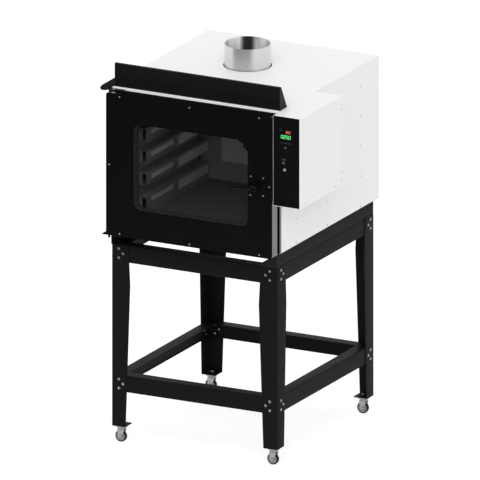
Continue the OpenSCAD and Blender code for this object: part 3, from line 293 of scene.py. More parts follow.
def settle(piece):
    """Turns a piece and its modifiers into a plain mesh."""
    graph = bpy.context.evaluated_depsgraph_get()
    mesh = bpy.data.meshes.new_from_object(piece.evaluated_get(graph))
    piece.modifiers.clear()
    old, piece.data = piece.data, mesh
    name = old.name
    bpy.data.meshes.remove(old)
    mesh.name = name


def place(piece, finish, slot, body="root", nodes=()):
    """Gives a piece its finish and its body, and hides the CAD nodes that it stands for."""
    piece.data.materials.clear()
    piece.data.materials.append(finish_of(finish))
    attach(piece, body)
    if nodes:
        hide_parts(*nodes)


def softened(name, node, edge, finish, slot, body="root", segments=2):
    """A CAD node with its sharp edges rounded by some millimetres."""
    Shape().node(node).finished(name, finish, slot, body, [node], edge * MM, segments)


# Shader nodes

def add_node(tree, kind, inputs=None, **settings):
    """A node with its settings and inputs, each a value or a socket to link."""
    node = tree.nodes.new(kind)
    for key, value in settings.items():
        setattr(node, key, value)
    for key, value in (inputs or {}).items():
        if isinstance(value, bpy.types.NodeSocket):
            tree.links.new(value, node.inputs[key])
        else:
            node.inputs[key].default_value = value
    return node


def cleared(owner):
    """The emptied node tree of a material or a world."""
    owner.use_nodes = True
    owner.node_tree.nodes.clear()
    return owner.node_tree


def maths(tree, operation, a, b=0.0):
    """One step of arithmetic on two numbers."""
    return add_node(tree, "ShaderNodeMath", {0: a, 1: b}, operation=operation).outputs[0]


def times(tree, value, share):
    """A number multiplied by another."""
    return maths(tree, "MULTIPLY", value, share)


def vector_of(tree, x=0.0, y=0.0, z=0.0):
    """A vector of three numbers."""
    return add_node(tree, "ShaderNodeCombineXYZ", {0: x, 1: y, 2: z}).outputs[0]


def mixed(tree, share, first, second):
    """A blend of two colours."""
    return add_node(tree, "ShaderNodeMix", {0: share, 6: first, 7: second}, data_type="RGBA").outputs[2]


def toned(colour, share):
    """A colour made lighter or darker."""
    return (*[min(1.0, c * share) for c in colour[:3]], 1.0)


def noise(tree, vector, grain, detail=3.0):
    """Uneven values over a surface, with a grain in patches to a metre, one number or one for each axis."""
    grain = grain if isinstance(grain, tuple) else (grain, grain, grain)
    scaled = add_node(tree, "ShaderNodeMapping", {"Vector": vector, "Scale": grain})
    cloud = add_node(tree, "ShaderNodeTexNoise", {
        "Vector": scaled.outputs[0], "Scale": 1.0, "Detail": detail})
    return cloud.outputs["Fac"]


def surface(name, colour, roughness, metallic=0.0, specular=0.5, tone=0.04, swing=0.05, patches=9, bump=0.02,
            grain=700, upright=False, **sockets):
    """A finish with a soft change of tone, uneven gloss and a fine relief, whose depth is in millimetres."""
    finish = bpy.data.materials.new(name)
    finish.diffuse_color = (*colour[:3], 1.0)
    tree = cleared(finish)
    where = add_node(tree, "ShaderNodeTexCoord").outputs["Object"]
    fine = noise(tree, where, grain, 2.0)
    tones = mixed(tree, noise(tree, where, patches), toned(colour, 1 - tone), toned(colour, 1 + tone))
    gloss = add_node(tree, "ShaderNodeMapRange", {
        "Value": fine, "To Min": max(roughness - swing, 0.0), "To Max": roughness + swing})
    if bump:
        relief = add_node(tree, "ShaderNodeBump", {"Height": fine, "Strength": 1.0, "Distance": bump * MM})
        sockets["Normal"] = relief.outputs[0]
    if upright:
        sockets["Tangent"] = vector_of(tree, z=1.0)
    shader = add_node(tree, "ShaderNodeBsdfPrincipled", {
        "Base Color": tones, "Roughness": gloss.outputs[0], "Metallic": metallic,
        "Specular IOR Level": specular, **sockets})
    add_node(tree, "ShaderNodeOutputMaterial", {"Surface": shader.outputs[0]})
    return finish


# Geometry Nodes

def size_tree(name, sizes):
    """An empty tree with named sizes."""
    tree = bpy.data.node_groups.new(name, "GeometryNodeTree")
    tree.interface.new_socket("Points", in_out="INPUT", socket_type="NodeSocketGeometry")
    for label, value in sizes.items():
        kind = {int: "NodeSocketInt", float: "NodeSocketFloat", tuple: "NodeSocketVector"}[type(value)]
        socket = tree.interface.new_socket(label, in_out="INPUT", socket_type=kind)
        socket.default_value = value
    tree.interface.new_socket("Finish", in_out="INPUT", socket_type="NodeSocketMaterial")
    tree.interface.new_socket("Geometry", in_out="OUTPUT", socket_type="NodeSocketGeometry")
    return tree, add_node(tree, "NodeGroupInput").outputs


def moved(tree, mesh, **where):
    """A mesh shifted along the axes."""
    return add_node(tree, "GeometryNodeTransform", {
        "Geometry": mesh, "Translation": vector_of(tree, **where)}).outputs[0]


def drum(tree, radius, depth, low, sides=24, top=None):
    """A cylinder or a cone with its foot at a height."""
    cone = add_node(tree, "GeometryNodeMeshCone", {
        "Vertices": sides, "Radius Bottom": radius, "Depth": depth,
        "Radius Top": radius if top is None else top})
    return moved(tree, cone.outputs["Mesh"], z=low)


def blister(tree, half_x, half_y, rise, power=1.0):
    """A dome on a flat foot, whose outline is an oval or, with a lower power, a rounded bar."""
    ball = add_node(tree, "GeometryNodeMeshUVSphere", {"Segments": 28, "Rings": 14, "Radius": 1.0})
    spot = add_node(tree, "GeometryNodeInputPosition").outputs[0]
    part = add_node(tree, "ShaderNodeSeparateXYZ", {0: spot}).outputs
    stretched = times(tree, maths(tree, "SIGN", part[0]),
                      maths(tree, "POWER", maths(tree, "ABSOLUTE", part[0]), power))
    target = vector_of(tree, times(tree, stretched, half_x), times(tree, part[1], half_y),
                       times(tree, maths(tree, "MAXIMUM", part[2], 0.0), rise))
    return add_node(tree, "GeometryNodeSetPosition", {
        "Geometry": ball.outputs["Mesh"], "Position": target}).outputs[0]


def facing_copies(tree, points, shape, direction, **settings):
    """A copy of a shape on every point, turned to a direction."""
    turned = add_node(tree, "FunctionNodeAlignRotationToVector", {"Vector": direction}, **settings)
    return add_node(tree, "GeometryNodeInstanceOnPoints", {
        "Points": points, "Instance": shape, "Rotation": turned.outputs[0]}).outputs[0]


def close_tree(tree, given, copies):
    """Makes the copies real and gives them their finish."""
    real = add_node(tree, "GeometryNodeRealizeInstances", {"Geometry": copies})
    coated = add_node(tree, "GeometryNodeSetMaterial", {
        "Geometry": real.outputs[0], "Material": given["Finish"]})
    add_node(tree, "NodeGroupOutput", {"Geometry": coated.outputs[0]})
    return tree


def finish_tree(tree, given, shapes):
    """Puts the joined shapes on every point, facing the point's own direction."""
    joined = add_node(tree, "GeometryNodeJoinGeometry")
    for shape in shapes:
        tree.links.new(shape, joined.inputs[0])
    facing = add_node(tree, "GeometryNodeInputNamedAttribute", {"Name": "facing"}, data_type="FLOAT_VECTOR")
    return close_tree(tree, given, facing_copies(tree, given["Points"], joined.outputs[0], facing.outputs[0],
                                                 axis="Z"))


def hex_bolt_tree():
    """A hexagon bolt with a washer under its head, and its nut behind the sheets."""
    tree, given = size_tree("Hexagon bolts", {
        "Head Width": 10 * MM, "Head Height": 3.2 * MM, "Washer Width": 12.5 * MM,
        "Washer Thickness": 0.8 * MM, "Thread Width": 6 * MM, "Thread End": 1 * MM, "Grip": 6 * MM})
    head, washer, thread = (times(tree, given[of + " Width"], 0.5) for of in ("Head", "Washer", "Thread"))
    straight, crown = (times(tree, given["Head Height"], part) for part in (0.7, 0.3))
    crown_foot = maths(tree, "ADD", given["Washer Thickness"], straight)
    nut_foot = maths(tree, "SUBTRACT", times(tree, given["Grip"], -1.0), given["Head Height"])
    end = maths(tree, "SUBTRACT", nut_foot, given["Thread End"])
    return finish_tree(tree, given, [
        drum(tree, washer, given["Washer Thickness"], 0.0),
        drum(tree, head, straight, given["Washer Thickness"], 6),
        drum(tree, head, crown, crown_foot, 6, times(tree, head, 0.8)),
        drum(tree, head, given["Head Height"], nut_foot, 6),
        drum(tree, thread, times(tree, end, -1.0), end, 16)])


def pan_screw_tree():
    """A screw with a domed head and a cross recess."""
    tree, given = size_tree("Cross head screws", {
        "Head Width": 8 * MM, "Head Height": 1.6 * MM, "Shank Width": 3.5 * MM, "Shank Length": 8 * MM})
    radius, arm, slot = (times(tree, given["Head Width"], part) for part in (0.5, 0.52, 0.13))
    head = blister(tree, radius, radius, given["Head Height"])
    for size in ((arm, slot), (slot, arm)):
        cube = add_node(tree, "GeometryNodeMeshCube", {"Size": vector_of(tree, *size, given["Head Height"])})
        cut = moved(tree, cube.outputs["Mesh"], z=given["Head Height"])
        head = add_node(tree, "GeometryNodeMeshBoolean", {"Mesh 1": head, "Mesh 2": cut},
                        operation="DIFFERENCE").outputs[0]
    shank = drum(tree, times(tree, given["Shank Width"], 0.5), given["Shank Length"],
                 times(tree, given["Shank Length"], -1.0), 12)
    return finish_tree(tree, given, [head, shank])


def rivet_tree():
    """A blind rivet with a domed head."""
    tree, given = size_tree("Rivets", {"Head Width": 7 * MM, "Head Height": 1.2 * MM})
    radius = times(tree, given["Head Width"], 0.5)
    return finish_tree(tree, given, [blister(tree, radius, radius, given["Head Height"])])


def louvre_tree():
    """A pressed louvre, a long blister over the upper edge of a slot."""
    tree, given = size_tree("Pressed louvres", {
        "Length": 98 * MM, "Height": 7 * MM, "Rise": 4 * MM, "Ends": 0.28})
    wide, high = (times(tree, given[key], 0.5) for key in ("Length", "Height"))
    return finish_tree(tree, given, [blister(tree, wide, high, given["Rise"], given["Ends"])])


def blade_tree():
    """Curved blades set round an axis along Y."""
    tree, given = size_tree("Fan blades", {
        "Blades": 18, "Reach": 139 * MM, "Length": 44 * MM, "Width": 47 * MM, "Thickness": 1.6 * MM,
        "Bend Radius": 70 * MM, "Centre": (0.0, 0.0, 0.0)})
    inner = maths(tree, "SUBTRACT", given["Reach"], given["Length"])
    spots = add_node(tree, "GeometryNodeMeshCircle", {"Vertices": given["Blades"], "Radius": inner})
    sweep = maths(tree, "DIVIDE", given["Length"], given["Bend Radius"])
    bend = add_node(tree, "GeometryNodeCurveArc", {
        "Resolution": 9, "Radius": given["Bend Radius"], "Start Angle": -pi / 2, "Sweep Angle": sweep})
    section = add_node(tree, "GeometryNodeCurvePrimitiveQuadrilateral", {
        "Width": given["Thickness"], "Height": given["Width"]})
    blade = add_node(tree, "GeometryNodeCurveToMesh", {
        "Curve": moved(tree, bend.outputs["Curve"], y=given["Bend Radius"]),
        "Profile Curve": section.outputs["Curve"], "Fill Caps": True})
    outward = add_node(tree, "GeometryNodeInputPosition").outputs[0]
    copies = facing_copies(tree, spots.outputs["Mesh"], blade.outputs[0], outward, axis="X", pivot_axis="Z")
    upright = add_node(tree, "GeometryNodeTransform", {
        "Geometry": copies, "Translation": given["Centre"], "Rotation": (pi / 2, 0.0, 0.0)})
    return close_tree(tree, given, upright.outputs[0])


def grown(name, tree, mesh, sizes, finish):
    """A plain mesh that a tree makes from points."""
    piece = bpy.data.objects.new(name, mesh)
    bpy.context.scene.collection.objects.link(piece)
    modifier = piece.modifiers.new(name, "NODES")
    modifier.node_group = tree
    values = {**sizes, "Finish": finish_of(finish)}
    for socket in tree.interface.items_tree:
        if socket.in_out == "INPUT" and socket.name in values:
            modifier[socket.identifier] = values[socket.name]
    settle(piece)
    if len(piece.data.polygons) == 0:
        raise RuntimeError(f"{name} came out empty")
    return piece


def fasteners(name, tree, places, sizes, finish, slot, body="root", nodes=(), angle=35):
    """A fastener at each place, a point and the direction that its head faces."""
    mesh = bpy.data.meshes.new(name)
    mesh.from_pydata([point for point, direction in places], [], [])
    facing = mesh.attributes.new("facing", "FLOAT_VECTOR", "POINT")
    for i, (point, direction) in enumerate(places):
        facing.data[i].vector = direction
    piece = grown(name, tree, mesh, sizes, finish)
    piece.data.shade_smooth()
    piece.data.set_sharp_from_angle(angle=radians(angle))
    place(piece, finish, slot, body, nodes)


def cross_screws(name, places, body="root", nodes=(), sizes=None):
    """Screws with domed heads, of the panels' size unless another is given."""
    look = bpy.context.scene.oven_body
    heads = {"Head Width": look.screw_head, "Head Height": look.screw_rise}
    fasteners(name, pan_screw_tree(), places, sizes or heads, "screw_steel", "screw_steel", body, nodes)


# Settings

def size_of(label, about, default, low=0.0):
    """A size, given in millimetres."""
    return bpy.props.FloatProperty(name=label, description=about, default=default * MM, min=low * MM,
                                   unit="LENGTH", subtype="DISTANCE", precision=5)


def colour_of(label, about, default):
    """A colour."""
    return bpy.props.FloatVectorProperty(name=label, description=about, default=default, size=3,
                                         min=0.0, max=1.0, subtype="COLOR")


def share_of(label, about, default, high=1.0):
    """A strength or a part of a whole."""
    return bpy.props.FloatProperty(name=label, description=about, default=default, min=0.0, max=high,
                                   subtype="FACTOR")


def angle_of(label, about, default):
    """An angle, given in degrees."""
    return bpy.props.FloatProperty(name=label, description=about, default=radians(default), subtype="ANGLE")


def place_of(label, about, default):
    """A place, given in millimetres."""
    return bpy.props.FloatVectorProperty(name=label, description=about, default=[v * MM for v in default],
                                         size=3, subtype="TRANSLATION")


def direction_of(label, about, default):
    """A direction."""
    return bpy.props.FloatVectorProperty(name=label, description=about, default=default, size=3,
                                         subtype="XYZ")


class StageLook(bpy.types.PropertyGroup):
    """The camera, the light, the floor and the card"""
    turn: angle_of("Turn", "Turn of the camera to the right", 27.24)
    rise: angle_of("Rise", "Height angle of the camera", 17.06)
    width: size_of("View Width", "Width of what the camera shows", 2064.7)
    aim: place_of("Aim", "Point in the middle of the view", (-50.6, -4.45, 850.2))
    away: size_of("Camera Distance", "Distance of the camera from that point", 6000.0)
    room: share_of("Room Light", "Light from all sides", 0.74, 4.0)
    key: share_of("Key Light", "Light of the main lamp", 1.55, 10.0)
    key_spread: angle_of("Key Spread", "Width of the main lamp, as seen from the object", 50.0)
    key_from: direction_of("Key Direction", "Direction from the object to the main lamp", (0.29, -0.74, 0.61))
    inner: share_of("Oven Lamp", "Light of the small lamp in the chamber", 0.42, 10.0)
    inner_radius: size_of("Oven Lamp Radius", "Radius of the small lamp", 60.0)
    inner_place: place_of("Oven Lamp Place", "Middle of the small lamp", (60.0, -30.0, 1440.0))
    floor: colour_of("Floor", "Colour of the floor", (0.85, 0.85, 0.85))
    floor_tone: share_of("Floor Tone", "Share of the floor's colour where it is seen", 0.5)
    lift: share_of("Floor Lift", "Brightness that the floor adds where it is seen", 0.72)
    reach: size_of("Floor Reach", "Distance of the floor's edges from its middle", 9000.0)
    card_far: size_of("Card Distance", "Distance of the dark card from the object", 3200.0)
    card_high: size_of("Card Height", "Height of the dark card", 7000.0)


class StandLook(bpy.types.PropertyGroup):
    """The stand"""
    paint: colour_of("Paint", "Colour of the stand's powder coat", (0.0074, 0.0078, 0.0078))
    gloss: share_of("Roughness", "Roughness of the stand's powder coat", 0.48)
    bend: size_of("Bend Radius", "Outer radius of the folded sheets", 5.0)
    sheet: size_of("Sheet", "Thickness of the stand's sheet", 3.0)
    edge: size_of("Edge", "Width of the broken edges", 0.4)
    leg_top: size_of("Leg Top", "Width of a leg's flanges at the top", 80.0)
    leg_foot: size_of("Leg Foot", "Width of a leg's flanges at the foot", 67.0)
    leg_wide: size_of("Leg Wide Height", "Height above the floor where a leg is widest", 720.0)
    plate: size_of("Foot Plate", "Side of a leg's foot plate", 65.0)
    plate_sheet: size_of("Foot Plate Sheet", "Thickness of a leg's foot plate", 4.0)
    rail_flange: size_of("Rail Flange", "Width of a rail's top flange", 54.0)
    rail_lip: size_of("Rail Lip", "Width of a rail's bottom lip", 7.0)
    upper_drop: size_of("Upper Rail Drop", "Further depth of the upper rails under their bolts", 4.5)
    lower_drop: size_of("Lower Rail Drop", "Further depth of the lower rails under their bolts", 1.4)
    lower_lift: size_of("Lower Rail Lift", "Further height of the lower rails over their bolts", 2.0)
    base_flange: size_of("Base Flange", "Width of a base rail's top flange", 40.0)
    base_foot_left: size_of("Left Base Foot", "Width of the left base rail's bottom flange", 70.0)
    base_foot_right: size_of("Right Base Foot", "Width of the right base rail's bottom flange", 96.0)
    bolt_edge: size_of("Bolt Edge", "Distance of the outer bolts from a leg's edge", 35.0)
    bolt_step: size_of("Bolt Step", "Further distance of the middle bolt", 20.0)
    bolt_pitch: size_of("Bolt Pitch", "Height between the outer bolts", 40.0)
    bolt_head: size_of("Bolt Head", "Width of a bolt's head", 10.0)
    base_bolt_in: size_of("Base Bolt Distance", "Distance of the base rails' bolts from the ends", 150.0)


class CasterLook(bpy.types.PropertyGroup):
    """The casters"""
    cup: size_of("Cup", "Radius of a caster's swivel cup", 27.0)
    pin: size_of("Pin", "Radius of a caster's pin", 6.0)
    nut: size_of("Nut", "Half the width over the corners of a caster's nut", 10.0)
    nut_high: size_of("Nut Height", "Height of a caster's nut", 7.0)
    gap: size_of("Cup Gap", "Height of the gap between the cup and the fork", 0.3)
    bore: size_of("Wheel Bore", "Radius of a wheel's bore", 4.05)
    hub: size_of("Hub", "Radius of a wheel's hub", 8.0)
    shoulder: size_of("Tyre Shoulder", "Radius of a tyre's round shoulders", 3.2)


class BodyLook(bpy.types.PropertyGroup):
    """The body with its screws and its flue collar"""
    paint: colour_of("Paint", "Colour of the body's powder coat", (0.86, 0.86, 0.86))
    gloss: share_of("Roughness", "Roughness of the body's powder coat", 0.42)
    roof_lip: size_of("Roof Lip", "Height of the roof's fold over the front frame", 10.0)
    roof_lip_sheet: size_of("Roof Lip Sheet", "Thickness of the roof's fold", 0.9)
    screw_head: size_of("Screw Head", "Width of a panel screw's head", 8.0)
    screw_rise: size_of("Screw Rise", "Height of a panel screw's head", 1.6)
    flue_wall: size_of("Flue Wall", "Thickness of the flue collar's sheet", 1.0)
    flue_skirt: size_of("Flue Skirt", "Step of the flue collar inside the roof", 4.0)
    flue_lap: size_of("Flue Lap", "Height of the flue collar's lapped seam", 0.9)


class ControlLook(bpy.types.PropertyGroup):
    """The control box and what its display shows"""
    number: bpy.props.IntProperty(name="Number", description="Green number of the display", default=250,
                                  min=0, max=9999)
    minutes: bpy.props.IntProperty(name="Minutes", description="Red number of the display", default=30,
                                   min=0, max=99)
    sheet: size_of("Panel Sheet", "Depth of the control panel's plate", 3.0)
    edge: size_of("Housing Edge", "Radius of the housing's folded edges", 0.65)
    side: size_of("Housing Side", "Width of the housing's fold left of the control panel", 1.2)
    foot: size_of("Housing Foot", "Height of the housing's fold under the control panel", 1.6)
    lap: size_of("Panel Lap", "Width of the panel's edge over the housing's right fold", 4.5)
    lap_sheet: size_of("Panel Lap Sheet", "Height of the panel's edge over that fold", 0.35)


class DoorLook(bpy.types.PropertyGroup):
    """The door with its glass, seal and hinges"""
    paint: colour_of("Paint", "Colour of the door's front plate", (0.003, 0.003, 0.003))
    gloss: share_of("Roughness", "Roughness of the door's front plate", 0.36)
    tint: colour_of("Glass Tint", "Colour of the glass", (0.004, 0.0045, 0.0045))
    dark: share_of("Glass Density", "Share of the light that a pane's face holds back", 0.1)
    clip: size_of("Window Clip", "Side of the clip that cuts the window's corner", 48.0)
    seal: size_of("Seal", "Width of the door's seal", 14.0)
    hinge_sheet: size_of("Hinge Sheet", "Thickness of a hinge bracket", 4.0)
    pin: size_of("Hinge Pin", "Radius of a hinge pin", 5.0)
    collar: size_of("Hinge Collar", "Radius of a hinge pin's collar", 9.0)


GROUPS = {"oven_stage": StageLook, "oven_stand": StandLook, "oven_casters": CasterLook, "oven_body": BodyLook,
          "oven_controls": ControlLook, "oven_door": DoorLook}


# Finishes

BLACK_COAT = {"tone": 0.12, "swing": 0.06, "bump": 0.02, "grain": 900}
METAL = {"metallic": 1.0, "tone": 0.06, "swing": 0.06, "patches": 14, "bump": 0.004}
BRUSHED = {**METAL, "bump": 0.001}
DULLED_STEEL = {"metallic": 0.35, "specular": 0.3, "tone": 0.08, "swing": 0.06, "patches": 14, "bump": 0.003,
                "grain": (18, 500, 500)}
PLASTIC = {"specular": 0.4, "tone": 0.06, "patches": 30, "bump": 0.01, "grain": 1200}


def of_kind(kind, colour, roughness, **own):
    """The settings of a finish, those of its kind and its own."""
    return {**kind, "colour": colour, "roughness": roughness, **own}


def glowing(colour):
    """The settings of a lit segment of the display."""
    return of_kind({}, colour, 0.4, **{"Emission Color": (*colour, 1.0), "Emission Strength": 0.95})


def coats():
    """The powder coats and the glass, with what their settings in the sidebar say."""
    scene = bpy.context.scene
    stand, body, door = scene.oven_stand, scene.oven_body, scene.oven_door
    return {
        "stand_powder_coat": of_kind(BLACK_COAT, stand.paint, stand.gloss, specular=0.04),
        "door_powder_coat": of_kind(BLACK_COAT, door.paint, door.gloss, specular=0.07),
        "hood_powder_coat": of_kind(BLACK_COAT, (0.0068, 0.0068, 0.007), 0.46, specular=0.12),
        "hinge_powder_coat": of_kind(BLACK_COAT, (0.002, 0.002, 0.002), 0.6, specular=0.02),
        "body_powder_coat": of_kind({}, body.paint, body.gloss, specular=0.35, tone=0.012, patches=2,
                                    bump=0.015, grain=500),
        "glass_pane": of_kind({}, door.tint, 0.03, specular=0.2, swing=0.02, patches=3, bump=0.0, grain=40,
                              Alpha=door.dark),
    }


FINISHES = {
    "bolt_zinc_plate": of_kind(METAL, (0.46, 0.43, 0.38), 0.42, grain=300),
    "caster_zinc_plate": of_kind(METAL, (0.36, 0.36, 0.37), 0.26, grain=220),
    "galvanised_sheet": of_kind(METAL, (0.5, 0.51, 0.52), 0.42, grain=60, tone=0.14),
    "brass": of_kind(METAL, (0.62, 0.48, 0.2), 0.3, grain=300),
    "screw_steel": of_kind(METAL, (0.5, 0.5, 0.5), 0.3, grain=400),
    "pin_black_oxide": of_kind(METAL, (0.03, 0.03, 0.032), 0.4, grain=400),
    "brushed_steel_upright": of_kind(BRUSHED, (0.14, 0.14, 0.142), 0.15, grain=(1500, 1500, 12)),
    "brushed_steel_level": of_kind(BRUSHED, (0.2, 0.2, 0.205), 0.2, grain=(12, 1500, 1500)),
    "flue_rolled_steel": of_kind(METAL, (0.7, 0.7, 0.71), 0.34, metallic=0.82, tone=0.03, swing=0.04,
                                 bump=0.003, grain=(14, 14, 900), upright=True, Anisotropic=0.9),
    "chamber_steel": of_kind(DULLED_STEEL, (0.14, 0.14, 0.14), 0.45),
    "baffle_steel": of_kind(DULLED_STEEL, (0.27, 0.27, 0.27), 0.45),
    "rack_steel": of_kind(DULLED_STEEL, (0.25, 0.25, 0.25), 0.42),
    "guard_steel": of_kind(DULLED_STEEL, (0.52, 0.52, 0.52), 0.42),
    # painted light: a pale steel for the strips that stand in for the lit sheet behind the racks' slots
    "painted_light_steel": of_kind(DULLED_STEEL, (0.62, 0.62, 0.62), 0.4),
    "spacer_steel": of_kind(DULLED_STEEL, (0.06, 0.06, 0.06), 0.4),
    "mineral_wool": of_kind({}, (0.62, 0.55, 0.36), 0.95, specular=0.1, tone=0.2, patches=40, bump=2.0,
                            grain=160),
    "caster_disc_plastic": of_kind(PLASTIC, (0.24, 0.243, 0.246), 0.45),
    "caster_tyre_rubber": of_kind(PLASTIC, (0.012, 0.013, 0.013), 0.6, specular=0.12, bump=0.03, grain=600),
    "black_plastic": of_kind(PLASTIC, (0.008, 0.008, 0.008), 0.45),
    "panel_gloss_black": of_kind(PLASTIC, (0.0045, 0.0045, 0.0045), 0.16, specular=0.2, bump=0.001, grain=20),
    "circuit_board_green": of_kind(PLASTIC, (0.02, 0.1, 0.05), 0.4),
    "button_grey": of_kind(PLASTIC, (0.07, 0.07, 0.07), 0.42),
    "button_light_grey": of_kind(PLASTIC, (0.27, 0.27, 0.26), 0.4),
    "seal_silicone": of_kind(PLASTIC, (0.02, 0.02, 0.02), 0.62, specular=0.3, bump=0.02, grain=500),
    "handle_plastic": of_kind(PLASTIC, (0.0035, 0.0035, 0.0035), 0.34, specular=0.12, grain=1000),
    "motor_paint": of_kind(PLASTIC, (0.06, 0.065, 0.07), 0.5),
    "mark_grey": of_kind(PLASTIC, (0.16, 0.16, 0.16), 0.5),
    "mark_white": of_kind(PLASTIC, (0.38, 0.38, 0.38), 0.5),
    "mark_blue": of_kind(PLASTIC, (0.03, 0.06, 0.14), 0.5),
    "digit_green": glowing((0.09, 0.74, 0.19)),
    "digit_red": glowing((0.82, 0.13, 0.09)),
}


def paint_flue_reflection(finish):
    """Paints a reflection into the flue's inside: pale all round, with a dark band along its back where the
    tube would mirror the dark card in front.
    """
    # painted reflection: the pale inside and the dark band stand in for the light and the dark card that the
    # tube reflects
    painted_reflection_pale, painted_reflection_dark = (0.95, 0.95, 0.96, 1.0), (0.045, 0.047, 0.052, 1.0)
    backward, fade_start, fade_end, in_wall = (-0.458, 0.889, 0), 0.925, 0.995, 0.6 * MM
    tree = finish.node_tree

    def vector(operation, a, b=(0, 0, 0)):
        """One step of arithmetic on two vectors."""
        return add_node(tree, "ShaderNodeVectorMath", {0: a, 1: b}, operation=operation).outputs

    low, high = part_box("flue_collar")
    where = add_node(tree, "ShaderNodeTexCoord").outputs["Object"]
    spoke = vector("SUBTRACT", where, ((low.x + high.x) / 2, (low.y + high.y) / 2, 0))[0]
    level = vector("MULTIPLY", spoke, (1, 1, 0))[0]
    inside = maths(tree, "LESS_THAN", vector("LENGTH", level)["Value"], (high.x - low.x) / 2 - in_wall)
    share_back = vector("DOT_PRODUCT", vector("NORMALIZE", level)[0], backward)["Value"]
    painted_reflection_band = add_node(tree, "ShaderNodeMapRange", {
        "Value": share_back, "From Min": fade_start, "From Max": fade_end},
        interpolation_type="SMOOTHSTEP").outputs[0]
    shader = next(n for n in tree.nodes if n.type == "BSDF_PRINCIPLED")
    plain = mixed(tree, inside, shader.inputs["Base Color"].links[0].from_socket, painted_reflection_pale)
    with_painted_reflection = mixed(tree, times(tree, inside, painted_reflection_band), plain, painted_reflection_dark)
    tree.links.new(with_painted_reflection, shader.inputs["Base Color"])


def finish_of(name):
    """A finish by its name, made once."""
    label = "finish_" + name
    finish = bpy.data.materials.get(label)
    if finish is None:
        finish = surface(label, **{**FINISHES, **coats()}[name])
        # the flue's inside gets a painted reflection
        if name == "flue_rolled_steel":
            paint_flue_reflection(finish)
    return finish


# Stage

def seen(tree):
    """1 where a surface is seen, also through glass and in metal, and 0 for its light."""
    path = add_node(tree, "ShaderNodeLightPath").outputs
    clear = maths(tree, "MAXIMUM", path["Is Glossy Ray"], path["Is Transmission Ray"])
    return maths(tree, "MAXIMUM", path["Is Camera Ray"], clear)


def glow_finish(name, strength):
    """A material that only glows."""
    finish = bpy.data.materials.new(name)
    tree = cleared(finish)
    glow = add_node(tree, "ShaderNodeEmission", {"Color": WHITE, "Strength": strength})
    add_node(tree, "ShaderNodeOutputMaterial", {"Surface": glow.outputs[0]})
    return finish


class OVEN_OT_stage(bpy.types.Operator):
    """Adds the camera, the lamps, the world, the floor and a dark card that only gloss shows"""
    bl_idname = "oven.stage"
    bl_label = "Stage"

    def execute(self, context):
        scene = context.scene
        look = scene.oven_stage
        scene.view_settings.view_transform = "Standard"
        self.make_camera(scene, look)
        key = self.make_lamp(scene, "key_lamp", "SUN", look.key)
        key.data.angle = look.key_spread
        key.rotation_euler = Vector(look.key_from).to_track_quat("Z", "Y").to_euler()
        inner = self.make_lamp(scene, "oven_lamp", "POINT", look.inner)
        inner.data.shadow_soft_size = look.inner_radius
        inner.location = look.inner_place
        self.make_world(scene, look)
        self.make_floor(scene, look)
        self.make_card(scene, look)
        return {"FINISHED"}

    def make_camera(self, scene, look):
        """A camera with parallel rays, turned and raised like the photograph's."""
        away = Vector((sin(look.turn) * cos(look.rise), -cos(look.turn) * cos(look.rise), sin(look.rise)))
        camera = bpy.data.objects.new("camera", bpy.data.cameras.new("camera"))
        camera.data.type = "ORTHO"
        camera.data.ortho_scale = look.width
        camera.location = Vector(look.aim) + away * look.away
        camera.rotation_euler = away.to_track_quat("Z", "Y").to_euler()
        scene.collection.objects.link(camera)
        scene.camera = camera

    def make_lamp(self, scene, name, kind, energy):
        """A lamp that gloss doesn't show."""
        lamp = bpy.data.objects.new(name, bpy.data.lights.new(name, kind))
        lamp.data.energy = energy
        lamp.visible_glossy = False
        scene.collection.objects.link(lamp)
        return lamp

    def make_world(self, scene, look):
        """Plain light from all sides, which looks white."""
        scene.world = bpy.data.worlds.new("studio")
        tree = cleared(scene.world)
        strength = add_node(tree, "ShaderNodeMapRange", {
            "Value": seen(tree), "To Min": look.room, "To Max": 1.0})
        light = add_node(tree, "ShaderNodeBackground", {"Color": WHITE, "Strength": strength.outputs[0]})
        add_node(tree, "ShaderNodeOutputWorld", {"Surface": light.outputs[0]})

    def make_floor(self, scene, look):
        """A floor that looks white and keeps the object's shadow."""
        finish = bpy.data.materials.new("floor")
        tree = cleared(finish)
        shown = seen(tree)
        pale = mixed(tree, shown, (*look.floor, 1.0), toned(look.floor, look.floor_tone))
        matt = add_node(tree, "ShaderNodeBsdfDiffuse", {"Color": pale})
        glow = add_node(tree, "ShaderNodeEmission", {
            "Color": WHITE, "Strength": times(tree, shown, look.lift)})
        both = add_node(tree, "ShaderNodeAddShader", {0: matt.outputs[0], 1: glow.outputs[0]})
        add_node(tree, "ShaderNodeOutputMaterial", {"Surface": both.outputs[0]})
        corners = [(look.reach * x, look.reach * y, 0) for x, y in ((-1, -1), (1, -1), (1, 1), (-1, 1))]
        mesh = bpy.data.meshes.new("floor")
        mesh.from_pydata(corners, [], [(0, 1, 2, 3)])
        mesh.materials.append(finish)
        floor = bpy.data.objects.new("floor", mesh)
        scene.collection.objects.link(floor)

    def make_card(self, scene, look):
        """The card stands in front of the object, like the dark side of a studio behind the camera."""
        turns = (-52, -47, -42, -12, 34, 40, 48, 56)
        greys = (0.5, 0.22, 0.05, 0.02, 0.02, 0.2, 0.5, 0.5)
        points = [(look.card_far * sin(radians(a)), -look.card_far * cos(radians(a))) for a in turns]
        mesh = bpy.data.meshes.new("card")
        mesh.from_pydata([(x, y, z) for x, y in points for z in (0.0, look.card_high)], [],
                         [(2 * i, 2 * i + 2, 2 * i + 3, 2 * i + 1) for i in range(len(turns) - 1)])
        for i, (grey, next_grey) in enumerate(zip(greys, greys[1:])):
            mesh.materials.append(glow_finish(f"card_{i}", (grey + next_grey) / 2))
            mesh.polygons[i].material_index = i
        card = bpy.data.objects.new("card", mesh)
        scene.collection.objects.link(card)
        card.visible_camera = False
        card.visible_diffuse = False
        card.visible_shadow = False
        card.visible_transmission = False


# Stand

